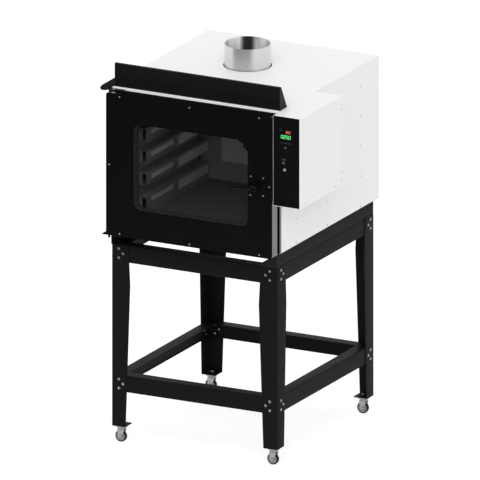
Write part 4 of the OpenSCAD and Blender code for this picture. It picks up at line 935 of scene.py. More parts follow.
class OVEN_OT_stand(bpy.types.Operator):
    """Builds the legs and the rails of the stand from folded sheet"""
    bl_idname = "oven.stand"
    bl_label = "Stand"

    def execute(self, context):
        look = context.scene.oven_stand
        for corner, (sx, sy) in CORNERS.items():
            self.make_leg(look, corner, sx, sy)
        self.make_rails(look, "upper", look.upper_drop, 0.0)
        self.make_rails(look, "lower", look.lower_drop, look.lower_lift)
        self.make_base_rail(look, "left", -1, look.base_foot_left)
        self.make_base_rail(look, "right", 1, look.base_foot_right)
        return {"FINISHED"}

    def coat(self, shape, look, name, node):
        """The finished sheet in the stand's coat."""
        shape.finished(name, "stand_powder_coat", "stand_black", nodes=[node], edge=look.edge, segments=1)

    def make_leg(self, look, corner, sx, sy):
        """A tapered angle with its foot plate."""
        node = "leg_" + corner
        low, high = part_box(node)
        x0, y0 = corner_of(node, sx, sy)
        sections = []
        for z, wide in ((low.z, look.leg_foot), (look.leg_wide, high.x - low.x), (high.z, look.leg_top)):
            outline = folded_sheet([(0, wide), (0, 0), (wide, 0)], look.sheet, look.bend)
            sections.append([(x0 - sx * u, y0 - sy * v, z) for u, v in outline])
        shape = Shape().loft(sections)
        shape.block((x0 - sx * look.sheet, y0 - sy * look.sheet, low.z),
                    (x0 - sx * look.plate, y0 - sy * look.plate, low.z + look.plate_sheet))
        self.coat(shape, look, "angle_leg_" + corner, node)

    def make_rails(self, look, ring, drop, lift):
        """Four folded rails that meet in mitres."""
        node = ring + "_rails"
        low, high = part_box(node)
        foot, head = low.z - drop, high.z + lift
        path = [(look.rail_flange, head), (0, head), (0, foot), (look.rail_lip, foot)]
        outline = folded_sheet(path, look.sheet, look.bend)
        sections = []
        for sx, sy in ((-1, -1), (1, -1), (1, 1), (-1, 1)):
            x0, y0 = corner_of(node, sx, sy)
            sections.append([(x0 - sx * u, y0 - sy * u, z) for u, z in outline])
        self.coat(Shape().loft(sections, ring=True), look, ring + "_rail_ring", node)

    def make_base_rail(self, look, side, sign, foot):
        """A folded channel between the stand and the body."""
        node = "base_rail_" + side
        low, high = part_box(node)
        x0 = low.x if sign < 0 else high.x
        path = [(look.base_flange, high.z), (0, high.z), (0, low.z), (foot, low.z)]
        outline = folded_sheet(path, look.sheet, look.bend)
        shape = Shape().prism([(x0 - sign * u, z) for u, z in outline], low.y, high.y, lay_y)
        self.coat(shape, look, "base_channel_" + side, node)


class OVEN_OT_stand_bolts(bpy.types.Operator):
    """Sets the hexagon bolts that join the stand"""
    bl_idname = "oven.stand_bolts"
    bl_label = "Stand Bolts"

    def execute(self, context):
        look = context.scene.oven_stand
        places = []
        for corner, (sx, sy) in CORNERS.items():
            x0, y0 = corner_of("leg_" + corner, sx, sy)
            for ring in ("upper_rails", "lower_rails"):
                for inward, height in ((0.0, -0.5), (look.bolt_step, 0.0), (0.0, 0.5)):
                    reach = look.bolt_edge + inward
                    z = middle_of(ring).z + height * look.bolt_pitch
                    places.append(((x0 - sx * reach, y0, z), (0, sy, 0)))
                    places.append(((x0, y0 - sy * reach, z), (sx, 0, 0)))
        left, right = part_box("leg_front_left")[0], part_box("leg_rear_right")[1]
        flange_middle = look.rail_flange / 2
        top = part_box("upper_rails")[1].z + look.sheet
        places += [((x, y, top), UPWARD) for x in (left.x + flange_middle, right.x - flange_middle)
                   for y in (left.y + look.base_bolt_in, right.y - look.base_bolt_in)]
        fasteners("stand_hex_bolts", hex_bolt_tree(), places,
                  {"Head Width": look.bolt_head, "Grip": 2 * look.sheet},
                  "bolt_zinc_plate", "bolt_zinc", nodes=["stand_bolts"])
        return {"FINISHED"}


class OVEN_OT_casters(bpy.types.Operator):
    """Builds the four swivel casters"""
    bl_idname = "oven.casters"
    bl_label = "Casters"

    def execute(self, context):
        look = context.scene.oven_casters
        self.make_cups(look, context.scene.oven_stand.plate_sheet)
        for corner in CORNERS:
            softened("caster_yoke_" + corner, "caster_fork_" + corner, 0.7, "caster_zinc_plate",
                     "caster_zinc", "fork_" + corner)
            self.make_wheel(look, corner)
        return {"FINISHED"}

    def make_cups(self, look, plate):
        """Swivel cups with a rolled ball race, each with its pin and nut."""
        shape = Shape()
        for corner, (sx, sy) in CORNERS.items():
            x0, y0 = corner_of("caster_stems", sx, sy)
            centre = (x0 - sx * look.cup, y0 - sy * look.cup)
            foot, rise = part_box("caster_fork_" + corner)[1].z + look.gap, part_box("leg_" + corner)[0].z
            top = rise + plate
            profile = [(0, foot - 4.4 * MM),
                       *around((look.pin, foot), (1.6, -4.4), (2.8, -3.6), (2.8, -2.9), (0, -2.7), (0, 0)),
                       *around((look.cup, foot), (-9.6, 0), (-8.4, 1.2), (-7.4, 4.6), (-3.2, 8.2),
                               (-0.6, 9.6), (0, 11)),
                       *around((look.cup, rise), (0, -1.2), (-1, 0)), (look.pin, rise),
                       *around((look.pin, top), (0, 9), (-1, 10)), (0, top + 10 * MM)]
            shape.turned(profile, (*centre, 0))
            nut = [*around((look.nut, top), (-0.8, 0), (0, 0.8)),
                   *around((look.nut, top + look.nut_high), (0, -0.8), (-0.8, 0))]
            shape.loft([[(*p, z) for p in circle(centre, r, 6)] for r, z in nut])
        shape.finished("caster_cups", "caster_zinc_plate", "caster_zinc", nodes=["caster_stems"], angle=30)

    def make_wheel(self, look, corner):
        """A moulded disc with its hub, and a tyre with round shoulders."""
        body, wheel, tyre = "roller_" + corner, "caster_wheel_" + corner, "caster_tyre_" + corner
        (low, high), (tyre_low, tyre_high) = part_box(wheel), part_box(tyre)
        rim, half = (high.z - low.z) / 2, (high.y - low.y) / 2
        disc = [(look.bore, half), *around((look.hub, half), (-0.6, 0), (0, -0.6), (0.6, -3.4), (2, -4)),
                *around((rim, half), (-4, -3), (-2.8, -1.4), (-2, -1), (0, -1))]
        tread, wide, bend = (tyre_high.z - tyre_low.z) / 2, (tyre_high.y - tyre_low.y) / 2, look.shoulder
        crown = [*around((rim, wide), (0, -0.6), (1, 0)), *arc((tread - bend, wide - bend), bend, 90, 0, 6)]
        for side, name, finish, slot, node in (
                (disc, "caster_disc_", "caster_disc_plastic", "wheel_grey", wheel),
                (crown, "caster_tread_", "caster_tyre_rubber", "caster_rubber", tyre)):
            shape = Shape().turned(both_sides(side), middle_of(wheel), "Y", ring=True)
            shape.finished(name + corner, finish, slot, body, [node])


# Body

class OVEN_OT_shell(bpy.types.Operator):
    """Builds the white panels, the underside, the front frame and the blanket"""
    bl_idname = "oven.shell"
    bl_label = "Body Shell"

    def execute(self, context):
        for name, node, edge, finish, slot in (
                ("side_sheet_left", "side_panel_left", 0.6, "body_powder_coat", "body_white"),
                ("side_sheet_right", "side_panel_right", 0.6, "body_powder_coat", "body_white"),
                ("roof_sheet", "top_panel", 0.6, "body_powder_coat", "body_white"),
                ("rear_sheet", "back_panel", 0.4, "body_powder_coat", "body_white"),
                ("bottom_sheet", "base_panel", 0.4, "galvanised_sheet", "sheet_zinc"),
                ("mouth_frame", "front_frame", 0.5, "brushed_steel_upright", "frame_steel"),
                ("wool_blanket", "insulation", 6, "mineral_wool", "mineral_wool")):
            softened(name, node, edge, finish, slot)
        self.make_roof_lip(context.scene.oven_body)
        self.make_louvres()
        return {"FINISHED"}

    def make_roof_lip(self, look):
        """The roof's fold over the top edge of the front frame, narrow where the hinge bracket lies."""
        low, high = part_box("front_frame")
        bracket_wide, gap, bend, clear = 50 * MM, 0.3 * MM, 0.8 * MM, 0.4 * MM
        bracket_end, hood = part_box("hinge_brackets")[0].x + bracket_wide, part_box("hood_bar")[0].y
        path = [(low.y, high.z - look.roof_lip), (low.y, high.z), (hood - clear, high.z)]
        wide, narrow = (folded_sheet(points, look.roof_lip_sheet, bend) for points in (path, path[:2]))
        shape = Shape().prism(wide, bracket_end, high.x - gap, lay_x)
        shape.prism(narrow, low.x + gap, bracket_end, lay_x)
        shape.finished("roof_front_fold", "body_powder_coat", "body_white", edge=0.3 * MM)

    def make_louvres(self):
        """Pressed louvres over the slots in the back."""
        back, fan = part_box("back_panel")[1].y, middle_of("fan_wheel")
        first, pitch, slot, over, column = -50 * MM, 14 * MM, 5 * MM, 1.6 * MM, 110 * MM
        spots = [((fan.x + x * column, back, fan.z + first + z * pitch + slot + over), BACKWARD)
                 for x in (-1, 0, 1) for z in range(8)]
        fasteners("rear_louvres", louvre_tree(), spots, {}, "body_powder_coat", "body_white", angle=50)


class OVEN_OT_panel_screws(bpy.types.Operator):
    """Sets the screws in the body's sides and in the control box"""
    bl_idname = "oven.panel_screws"
    bl_label = "Panel Screws"

    def execute(self, context):
        back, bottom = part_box("back_panel")[1].y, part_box("base_panel")[0].z
        first, pitch, column = 11 * MM, 135 * MM, 175 * MM
        spots = [(back - column, bottom + first + pitch * i) for i in range(5)]
        spots += [spot for y in (-487, -773) for spot in around((back, bottom), (y, 11), (y, 117))]
        sides = ((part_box("side_panel_left")[0].x, -1), (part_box("side_panel_right")[1].x, 1))
        places = [((x, y, z), (sign, 0, 0)) for x, sign in sides for y, z in spots]
        low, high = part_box("control_box")
        box_spots = around((high.y, low.z), (-12, 346), (-12, 63), (-12, 31), (-68, 13), (-346, 13))
        places += [((high.x, y, z), (1, 0, 0)) for y, z in box_spots]
        cross_screws("panel_cross_screws", places, nodes=["panel_screws"])
        return {"FINISHED"}


class OVEN_OT_chamber(bpy.types.Operator):
    """Builds the baking chamber with its racks and the sheets in front of the fan"""
    bl_idname = "oven.chamber"
    bl_label = "Chamber"

    def execute(self, context):
        softened("chamber_sheet", "chamber", 0.4, "chamber_steel", "chamber_steel")
        softened("fan_baffle_sheet", "air_baffle", 0.4, "baffle_steel", "chamber_steel")
        softened("fan_inlet_guard", "fan_guard", 0.5, "guard_steel", "chamber_steel")
        for side, sign in SIDES.items():
            self.make_rack(side, sign)
        self.make_painted_light_strips()
        return {"FINISHED"}

    def web_of(self, side, sign):
        """Place along X of a rack's web, the face towards the trays."""
        low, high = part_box("rack_" + side)
        return high.x if sign < 0 else low.x

    def make_rack(self, side, sign):
        """A folded rack, with a notch in its front fold under the first groove like those above."""
        node = "rack_" + side
        low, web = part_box(node)[0], self.web_of(side, sign)
        near, far, foot, top, before, deep = 1.5 * MM, 20 * MM, 14 * MM, 66 * MM, 1 * MM, 2.5 * MM
        cutter = Shape().block((web + sign * near, low.y - before, low.z + foot),
                               (web + sign * far, low.y + deep, low.z + top)).piece("rack_notch")
        rack = Shape().node(node).piece("tray_rack_" + side)
        notch = rack.modifiers.new("Notch", "BOOLEAN")
        notch.operation = "DIFFERENCE"
        notch.solver = "EXACT"
        notch.object = cutter
        settle(rack)
        bpy.data.objects.remove(cutter)
        place(rack, "rack_steel", "chamber_steel", nodes=[node])

    def make_painted_light_strips(self):
        """Pale strips behind the racks' front slots, and wider ones over their rear slots: painted light that
        stands in for the lit sheet seen through the slots.
        """
        sheet, web_sheet, over = 0.4 * MM, 1.5 * MM, 1 * MM
        first, pitch, levels = 42.5 * MM, 100 * MM, 4
        front = (0.08, 0.44, web_sheet + 2 * sheet, -1 * MM, 23 * MM)
        rear = (0.52, 0.995, -sheet, -17 * MM, 24 * MM)
        shape = Shape()
        for side, sign in SIDES.items():
            low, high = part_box("rack_" + side)
            web, deep = self.web_of(side, sign), high.y - low.y
            for level in range(levels):
                z = low.z + first + pitch * level
                for start, end, behind, foot, top in (front, rear):
                    shape.block((web + sign * behind, low.y + start * deep - over, z + foot),
                                (web + sign * (behind + sheet), low.y + end * deep + over, z + top))
        shape.finished("rack_painted_light_strips", "painted_light_steel", "chamber_steel")


class OVEN_OT_fan(bpy.types.Operator):
    """Builds the fan wheel with its curved blades, and its motor"""
    bl_idname = "oven.fan"
    bl_label = "Fan"

    def execute(self, context):
        low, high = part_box("fan_wheel")
        centre = Vector((middle_of("fan_wheel").x, 0, middle_of("fan_wheel").z))
        reach, hub, shaft = (high.x - low.x) / 2, 18 * MM, 7 * MM
        sheet, blade, deep, to_wall, blade_in = 2 * MM, 44 * MM, 50 * MM, 16.3 * MM, 1 * MM
        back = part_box("chamber")[1].y - to_wall
        front = back - deep
        disc = [(shaft, back - sheet), *around((reach, back - sheet), (-0.6, 0), (0, 0.6)),
                *around((reach, back), (0, -0.3), (-0.3, 0)), (shaft, back)]
        ring = [(reach - blade, front), (reach, front), (reach, front + sheet),
                (reach - blade, front + sheet)]
        boss = [(shaft, front + 10 * MM), *around((hub, front), (-1, 10), (0, 11)),
                (hub, back - sheet), (shaft, back - sheet)]
        rod = [(0, front + 4 * MM), *around((shaft, front), (-1, 4), (0, 5)), (shaft, high.y), (0, high.y)]
        shape = Shape()
        for profile, steps in ((disc, 72), (ring, 72), (boss, 40)):
            shape.turned(profile, centre, "Y", steps, ring=True)
        shape.turned(rod, centre, "Y", 32)
        shape.finished("fan_rotor", "chamber_steel", "chamber_steel", "fan", ["fan_wheel"], angle=30)
        blades = grown("fan_blades", blade_tree(), bpy.data.meshes.new("fan_blades"), {
            "Reach": reach - blade_in, "Width": deep - sheet,
            "Centre": (centre.x, (front + back) / 2, centre.z)}, "chamber_steel")
        place(blades, "chamber_steel", "chamber_steel", "fan")
        softened("fan_motor_drum", "fan_motor", 1.5, "motor_paint", "sheet_zinc")
        return {"FINISHED"}


class OVEN_OT_gas_parts(bpy.types.Operator):
    """Builds the burners, the valve, the gas pipe and the mains socket"""
    bl_idname = "oven.gas_parts"
    bl_label = "Gas Parts"

    def execute(self, context):
        softened("burner_bars", "burner_tubes", 0.6, "galvanised_sheet", "sheet_zinc")
        softened("valve_block", "gas_valve", 1.5, "galvanised_sheet", "sheet_zinc")
        softened("gas_tube", "gas_pipe", 0.6, "brass", "pipe_brass")
        self.make_thread()
        softened("mains_inlet", "power_inlet", 0.8, "black_plastic", "inlet_plastic")
        self.make_pins()
        return {"FINISHED"}

    def make_thread(self):
        """The thread on the gas pipe's end."""
        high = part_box("gas_pipe")[1]
        nut, end, wall = 16.5 * MM, 2.4 * MM, 1 * MM
        root, crest, pitch, rings = 10.4 * MM, 11.2 * MM, 1.8 * MM, 10
        inside, stop = root - wall, high.y - end
        start = stop - rings * pitch
        profile = [(inside, start)]
        for i in range(rings):
            profile += [(root, start + (i + 0.1) * pitch), (crest, start + (i + 0.5) * pitch)]
        profile += [(root, stop), (inside, stop)]
        shape = Shape().turned(profile, (high.x - nut, 0, high.z - nut), "Y", ring=True)
        shape.finished("gas_thread", "brass", "pipe_brass", angle=20)

    def make_pins(self):
        """The three pins in the mains socket's recess."""
        centre, recess = middle_of("power_inlet"), 17 * MM
        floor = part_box("power_inlet")[1].y - recess
        half_x, half_z, root, tip = 1 * MM, 2 * MM, 1 * MM, 11 * MM
        shape = Shape()
        for x, z in around((centre.x, centre.z), (-7, -1), (0, 2), (7, -1)):
            shape.block((x - half_x, floor - root, z - half_z), (x + half_x, floor + tip, z + half_z))
        shape.finished("mains_pins", "screw_steel", "screw_steel", edge=0.4 * MM)


class OVEN_OT_flue(bpy.types.Operator):
    """Builds the flue collar, a rolled tube with a lapped and riveted seam"""
    bl_idname = "oven.flue"
    bl_label = "Flue Collar"

    def execute(self, context):
        look = context.scene.oven_body
        low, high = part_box("flue_collar")
        centre = ((low.x + high.x) / 2, (low.y + high.y) / 2)
        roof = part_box("top_panel")[1].z
        self.make_tube(look, centre, low.z, high.z, (high.x - low.x) / 2, roof)
        self.make_seam(look, centre, high.z, (high.x - low.x) / 2, roof)
        return {"FINISHED"}

    def make_tube(self, look, centre, foot, top, radius, roof):
        """A tube with a rolled rim, stepped in where it enters the roof."""
        wall, skirt, below = look.flue_wall, look.flue_skirt, 12 * MM
        inner, step = radius - wall, roof - below
        profile = [(radius, step), *around((radius, top), (0, -0.5), (-0.15, -0.1)), (radius - wall / 2, top),
                   *around((inner, top), (0.15, -0.1), (0, -0.5)), (inner, step + 2 * wall),
                   (inner - skirt, step + wall), (inner - skirt, foot), (radius - skirt, foot),
                   (radius - skirt, step)]
        shape = Shape().turned(profile, (*centre, 0), steps=144, ring=True)
        shape.finished("flue_tube", "flue_rolled_steel", "flue_steel", nodes=["flue_collar"], angle=30)

    def make_seam(self, look, centre, top, radius, roof):
        """The lap at the tube's back with its rivets."""
        half_turn, sunk, below, short = 6, 0.2 * MM, 4 * MM, 1.5 * MM
        face = radius + look.flue_lap
        outer, inner = (arc(centre, r, 90 - half_turn, 90 + half_turn, 6) for r in (face, radius - sunk))
        shape = Shape().prism(outer + inner[::-1], roof - below, top - short, lay_z)
        shape.finished("flue_seam", "flue_rolled_steel", "flue_steel", edge=0.3 * MM)
        spots = [((centre[0], centre[1] + face, roof + (top - roof) * share_up), BACKWARD)
                 for share_up in (0.14, 0.38, 0.62, 0.86)]
        fasteners("flue_rivets", rivet_tree(), spots, {}, "screw_steel", "screw_steel")


class OVEN_OT_hood(bpy.types.Operator):
    """Builds the folded bar on the roof's front edge"""
    bl_idname = "oven.hood"
    bl_label = "Hood Bar"

    def execute(self, context):
        softened("hood_sheet", "hood_bar", 1, "hood_powder_coat", "hood_black")
        return {"FINISHED"}


# Controls

class OVEN_OT_control_box(bpy.types.Operator):
    """Builds the white housing of the controls and its board"""
    bl_idname = "oven.control_box"
    bl_label = "Control Box"

    def execute(self, context):
        look = context.scene.oven_controls
        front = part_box("control_box")[0].y
        low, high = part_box("control_panel")
        shape = Shape().node("control_box")
        shape.block((low.x, front, low.z), (low.x + look.side, front + look.sheet, high.z))
        shape.block((low.x + look.side, front, low.z), (high.x, front + look.sheet, low.z + look.foot))
        shape.finished("control_housing", "body_powder_coat", "body_white", nodes=["control_box"],
                       edge=look.edge, segments=3)
        softened("control_circuit", "control_board", 0.3, "circuit_board_green", "board_green")
        return {"FINISHED"}


class OVEN_OT_controls(bpy.types.Operator):
    """Builds the control panel with its display, buttons and rocker switch"""
    bl_idname = "oven.controls"
    bl_label = "Controls"

    segments = {"0": "abcdef", "1": "bc", "2": "abged", "3": "abgcd", "4": "fgbc", "5": "afgcd",
                "6": "afgedc", "7": "abc", "8": "abcdefg", "9": "abcdfg"}
    cap_in, cap_gap = 2 * MM, 0.25 * MM

    def execute(self, context):
        look = context.scene.oven_controls
        low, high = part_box("control_box")
        window, number, minutes, bars, signs = around(
            (low.x, high.z), (63, -80), (61.6, -89), (72.3, -67), (39, -60), (61.6, -116.6))
        self.make_panel(look, low.y, window)
        self.make_lens(low.y, window)
        self.make_digits("display_number", f"{look.number:04d}", number, (45 * MM, 14 * MM), low.y,
                         "digit_green")
        self.make_digits("display_time", f"{look.minutes:02d}", minutes, (22 * MM, 9.5 * MM), low.y,
                         "digit_red")
        self.make_signs(low.y, bars, signs)
        self.make_cap(look, "start_button", "round_button", "start_key", "button_grey")
        self.make_cap(look, "push_button", "push_cap", "push_key", "button_light_grey")
        self.make_rocker(low.y)
        return {"FINISHED"}

    def make_panel(self, look, front, window):
        """The black panel in its white folds, with openings and raised rings."""
        low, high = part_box("control_panel")
        sunk, gap, joined = 0.2 * MM, 0.1 * MM, 2 * MM
        lens_hole, switch_hole = (31 * MM, 25 * MM, 1.5 * MM), (10.2 * MM, 15.2 * MM, 1.2 * MM)
        dial, dial_rise = 18.6 * MM, 1.1 * MM
        left, foot = low.x + look.side + gap, low.z + look.foot + gap
        holes = [round_window(window, *lens_hole)]
        rings = []
        for node in ("start_button", "push_button"):
            cap_low, cap_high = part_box(node)
            middle = front_middle(node)
            bore = (cap_high.x - cap_low.x) / 2 - self.cap_in + self.cap_gap
            holes.append(circle(middle, bore)[::-1])
            rings.append(circle(middle, bore, 40))
        rocker = front_middle("rocker_switch")
        opening = round_window(rocker, *switch_hole)
        outline = [(left, foot), (high.x, foot), (high.x, high.z), (left, high.z)]
        shape = Shape().plate(outline, [*holes, opening], front, front + look.sheet, lay_y)
        shape.block((high.x - joined, front - look.lap_sheet, foot),
                    (high.x + look.lap, front + sunk, high.z))
        ring_profile = around((0, front), (0, 0.2), (0, -0.7), (0.96, -0.7), (1.6, -0.28), (1.6, 0.2))
        for ring in rings:
            shape.rim(ring, ring_profile, lay_y)
        disc = circle(rocker, dial, 48)
        shape.plate(disc, [opening], front - dial_rise, front + gap, lay_y)
        bead = around((0, front), (-0.5, -0.9), (-0.4, -1.5), (-0.1, -1.5), (0, -1.1), (0, -0.9))
        shape.rim(disc, bead, lay_y)
        shape.finished("control_fascia", "panel_gloss_black", "panel_gloss", nodes=["control_panel"],
                       edge=0.25 * MM, angle=50)

    def make_lens(self, front, window):
        """The lens of the display."""
        half_x, half_z, corner, deep = 30.6 * MM, 24.6 * MM, 1.2 * MM, 0.7 * MM
        lens = round_window(window, half_x, half_z, corner)
        shape = Shape().prism(lens, front, front + deep, lay_y)
        shape.finished("display_lens", "panel_gloss_black", "panel_gloss", edge=0.2 * MM)

    def make_digits(self, name, text, centre, size, front, finish):
        """A number in seven-segment digits, in a width and a height."""
        width, height = size
        space, thick, gap, rise, sunk = 0.34, 0.15, 0.15, 0.25 * MM, 0.1 * MM
        wide = width / (len(text) * (1 + space) - space)
        bar = height * thick
        z0, z1, z2 = centre[1] - height / 2, centre[1], centre[1] + height / 2
        shape = Shape()
        for i, digit in enumerate(text):
            x0 = centre[0] - width / 2 + i * wide * (1 + space)
            x1 = x0 + wide
            ends = {"a": ((x0, z2), (x1, z2)), "b": ((x1, z1), (x1, z2)), "c": ((x1, z0), (x1, z1)),
                    "d": ((x0, z0), (x1, z0)), "e": ((x0, z0), (x0, z1)), "f": ((x0, z1), (x0, z2)),
                    "g": ((x0, z1), (x1, z1))}
            for key in self.segments[digit]:
                a, b = Vector(ends[key][0]), Vector(ends[key][1])
                along = (b - a).normalized() * bar
                across = Vector((-along.y, along.x)) / 2
                a, b, tip = a + along * gap, b - along * gap, along / 2
                outline = [a, a + tip + across, b - tip + across, b, b - tip - across, a + tip - across]
                shape.prism([tuple(p) for p in outline], front - rise, front + sunk, lay_y)
        shape.finished(name, finish, "panel_gloss")

    def make_signs(self, front, bars_at, signs_at):
        """Three shrinking bars over the numbers, and a row of small signs under them."""
        rise, sunk, start, step, half = 0.2 * MM, 0.1 * MM, -7 * MM, 5.4 * MM, 1.6 * MM
        bars = Shape()
        for i, wide in enumerate((3.9, 2.7, 1.5)):
            x0, z0, z1 = bars_at[0] + start + i * step, bars_at[1] - half, bars_at[1] + half
            x1 = x0 + wide * MM
            bars.prism([(x0, z0), (x1, z0), (x1, z1), (x0, z1)], front - rise, front + sunk, lay_y)
        bars.finished("display_bars", "mark_blue", "panel_gloss", edge=0.1 * MM)
        size, pitch = 1.9 * MM, 13.2 * MM
        signs = Shape()
        for i, sides in enumerate((3, 4, 24, 4, 3)):
            outline = arc((signs_at[0] + (i - 2) * pitch, signs_at[1]), size, 90, 450, sides)[:-1]
            signs.prism(outline, front - rise, front + sunk, lay_y)
        signs.finished("display_signs", "mark_grey", "panel_gloss")

    def make_cap(self, look, node, name, body, finish):
        """A button with a dished cap, a collar behind the panel and a stem."""
        low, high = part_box(node)
        x, z = front_middle(node)
        front, panel = low.y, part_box("control_box")[0].y + look.sheet
        collar, stem, dish, slope = (high.x - low.x) / 2, 2 * MM, 0.7 * MM, 0.45 * MM
        cap, inside, behind = collar - self.cap_in, panel + 0.2 * MM, panel + 2.1 * MM
        profile = [(0, front + dish), (cap / 2, front + slope),
                   *around((cap, front), (-1.3, 0), (-0.5, 0), (0, 0.6)), (cap, inside),
                   (collar, inside), (collar, behind), (stem, behind), (stem, high.y), (0, high.y)]
        shape = Shape().turned(profile, (x, 0, z), "Y", 40)
        shape.finished(name, finish, "button_grey", body, [node], angle=30)

    def make_rocker(self, front):
        """The rocker with its on and off signs."""
        softened("rocker_cap", "rocker_switch", 0.8, "black_plastic", "inlet_plastic", "rocker", 3)
        x, z = front_middle("rocker_switch")
        reach, foot_out, ridge_out, top_out = 13 * MM, 4.5 * MM, 2 * MM, 1.5 * MM

        def face(height):
            """Place of the cap's front along Y at a height from its middle."""
            if height < 0:
                return front - foot_out + (foot_out - ridge_out) * (height + reach) / reach
            return front - ridge_out + (ridge_out - top_out) * height / reach

        over, under = -0.12 * MM, 0.2 * MM
        half, foot, top = 0.8 * MM, 4.6 * MM, 10.8 * MM
        corners = ((-half, over), (half, over), (half, under), (-half, under))
        signs = Shape().loft([[(x + a, face(h) + d, z + h) for a, d in corners] for h in (foot, top)])
        outer, inner, middle = 3.1 * MM, 1.9 * MM, -7.4 * MM
        corners = ((outer, over), (inner, over), (inner, under), (outer, under))
        signs.loft([[(x + r * u, face(middle + r * v) + d, z + middle + r * v) for r, d in corners]
                    for u, v in circle((0, 0), 1, 24)], ring=True)
        signs.finished("rocker_signs", "mark_white", "button_grey", "rocker")


# Door

def window_outline():
    """The door's window in X and Z."""
    low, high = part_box("door_front_plate")
    left, right, foot, top, radius = 129 * MM, 117 * MM, 127 * MM, 125 * MM, 40 * MM
    return round_rectangle(low.x + left, high.x - right, low.z + foot, high.z - top, radius, 12)


class OVEN_OT_door(bpy.types.Operator):
    """Builds the door's front plate, frame, glass and seal"""
    bl_idname = "oven.door"
    bl_label = "Door"

    def execute(self, context):
        look = context.scene.oven_door
        softened("door_face", "door_front_plate", 1, "door_powder_coat", "door_black", "door")
        # the door's top gets painted shade
        self.make_top_painted_shade()
        softened("door_tray", "door_frame", 0.6, "brushed_steel_upright", "frame_steel", "door")
        softened("door_panes", "door_glass", 0.5, "glass_pane", "door_pane", "door")
        self.make_spacer()
        self.make_clip(look.clip)
        self.make_seal(look.seal)
        return {"FINISHED"}

    def make_top_painted_shade(self):
        """Painted shade: a near-black sheet over the door's top that stands in for the shade and dark
        reflection under the hood bar.
        """
        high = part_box("door_frame")[1]
        ears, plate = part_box("hinge_ears")[1].x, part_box("door_front_plate")[1].y
        left, right, over, inset, sunk, rise = 2 * MM, 12 * MM, 1 * MM, 0.3 * MM, 0.4 * MM, 0.5 * MM
        shape = Shape().block((ears + left, plate - over, high.z - sunk),
                              (high.x - right, high.y - inset, high.z + rise))
        shape.finished("door_top_painted_shade", "hinge_powder_coat", "door_black", "door", edge=0.2 * MM)

    def make_spacer(self):
        """The sheet strip that keeps the panes apart, around the window."""
        front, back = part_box("door_front_plate")[1].y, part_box("door_glass")[1].y
        profile = [*around((0, front), (0.1, 4.2), (-0.7, 4.2)),
                   *around((0, back), (-0.7, -4.2), (0.1, -4.2))]
        shape = Shape().rim(window_outline(), profile, lay_y)
        shape.finished("pane_spacer", "spacer_steel", "frame_steel", "door", edge=0.2 * MM)

    def make_clip(self, side):
        """The black clip with its screw that cuts the window's upper corner at the lever's side."""
        low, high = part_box("door_front_plate")
        edge = window_outline()
        right, top, over = max(x for x, z in edge), max(z for x, z in edge), 1 * MM
        set_back, short = 0.3 * MM, 0.1 * MM
        front, back = low.y + set_back, high.y - short
        outline = [(right - side, top + over), (right + over, top + over), (right + over, top - side),
                   (right, top - side), (right - side, top)]
        shape = Shape().prism(outline, front, back, lay_y)
        shape.finished("window_clip", "door_powder_coat", "door_black", "door")
        in_x, in_z = 0.56 * side, 0.36 * side
        cross_screws("window_clip_screw", [((right - in_x, front, top - in_z), FORWARD)], "door",
                     sizes={"Head Width": 6 * MM, "Head Height": 1.1 * MM, "Shank Length": 1 * MM})

    def make_seal(self, width):
        """A moulded seal with a foot and a hollow lip that bulges towards the mouth."""
        low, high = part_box("door_seal")
        middle, corner = width / 2, 8 * MM
        half, deep = middle * 0.92, high.y - low.y
        lip, shoulder = half * 0.86, low.y + deep * 0.3
        outline = round_rectangle(low.x + middle, high.x - middle, low.z + middle, high.z - middle, corner, 6)
        profile = [(-half, low.y), (half, low.y), (half, shoulder),
                   *arc((0, shoulder), (lip, high.y - shoulder), 0, 180, 10), (-half, shoulder)]
        shape = Shape().rim(outline, profile, lay_y)
        shape.finished("door_lip_seal", "seal_silicone", "seal_rubber", "door", ["door_seal"])


class OVEN_OT_door_screws(bpy.types.Operator):
    """Sets the screws in the door's front plate"""
    bl_idname = "oven.door_screws"
    bl_label = "Door Screws"

    def execute(self, context):
        low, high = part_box("door_front_plate")
        latch, lever_in = middle_of("latch_tongue").z, 72 * MM
        columns, row = (66 * MM, 404 * MM, 741.5 * MM), 13 * MM
        spots = [(low.x + column, z) for column in columns for z in (low.z + row, high.z - row)]
        spots += around((low.x, latch), (16, 0)) + around((high.x, latch), (-13, 6))
        spots += around((high.x - lever_in, latch), (-30, 42), (30, 42), (-32, -42), (30, -38))
        places = [((x, low.y, z), FORWARD) for x, z in spots]
        cross_screws("door_cross_screws", places, "door", ["door_screws"])
        return {"FINISHED"}


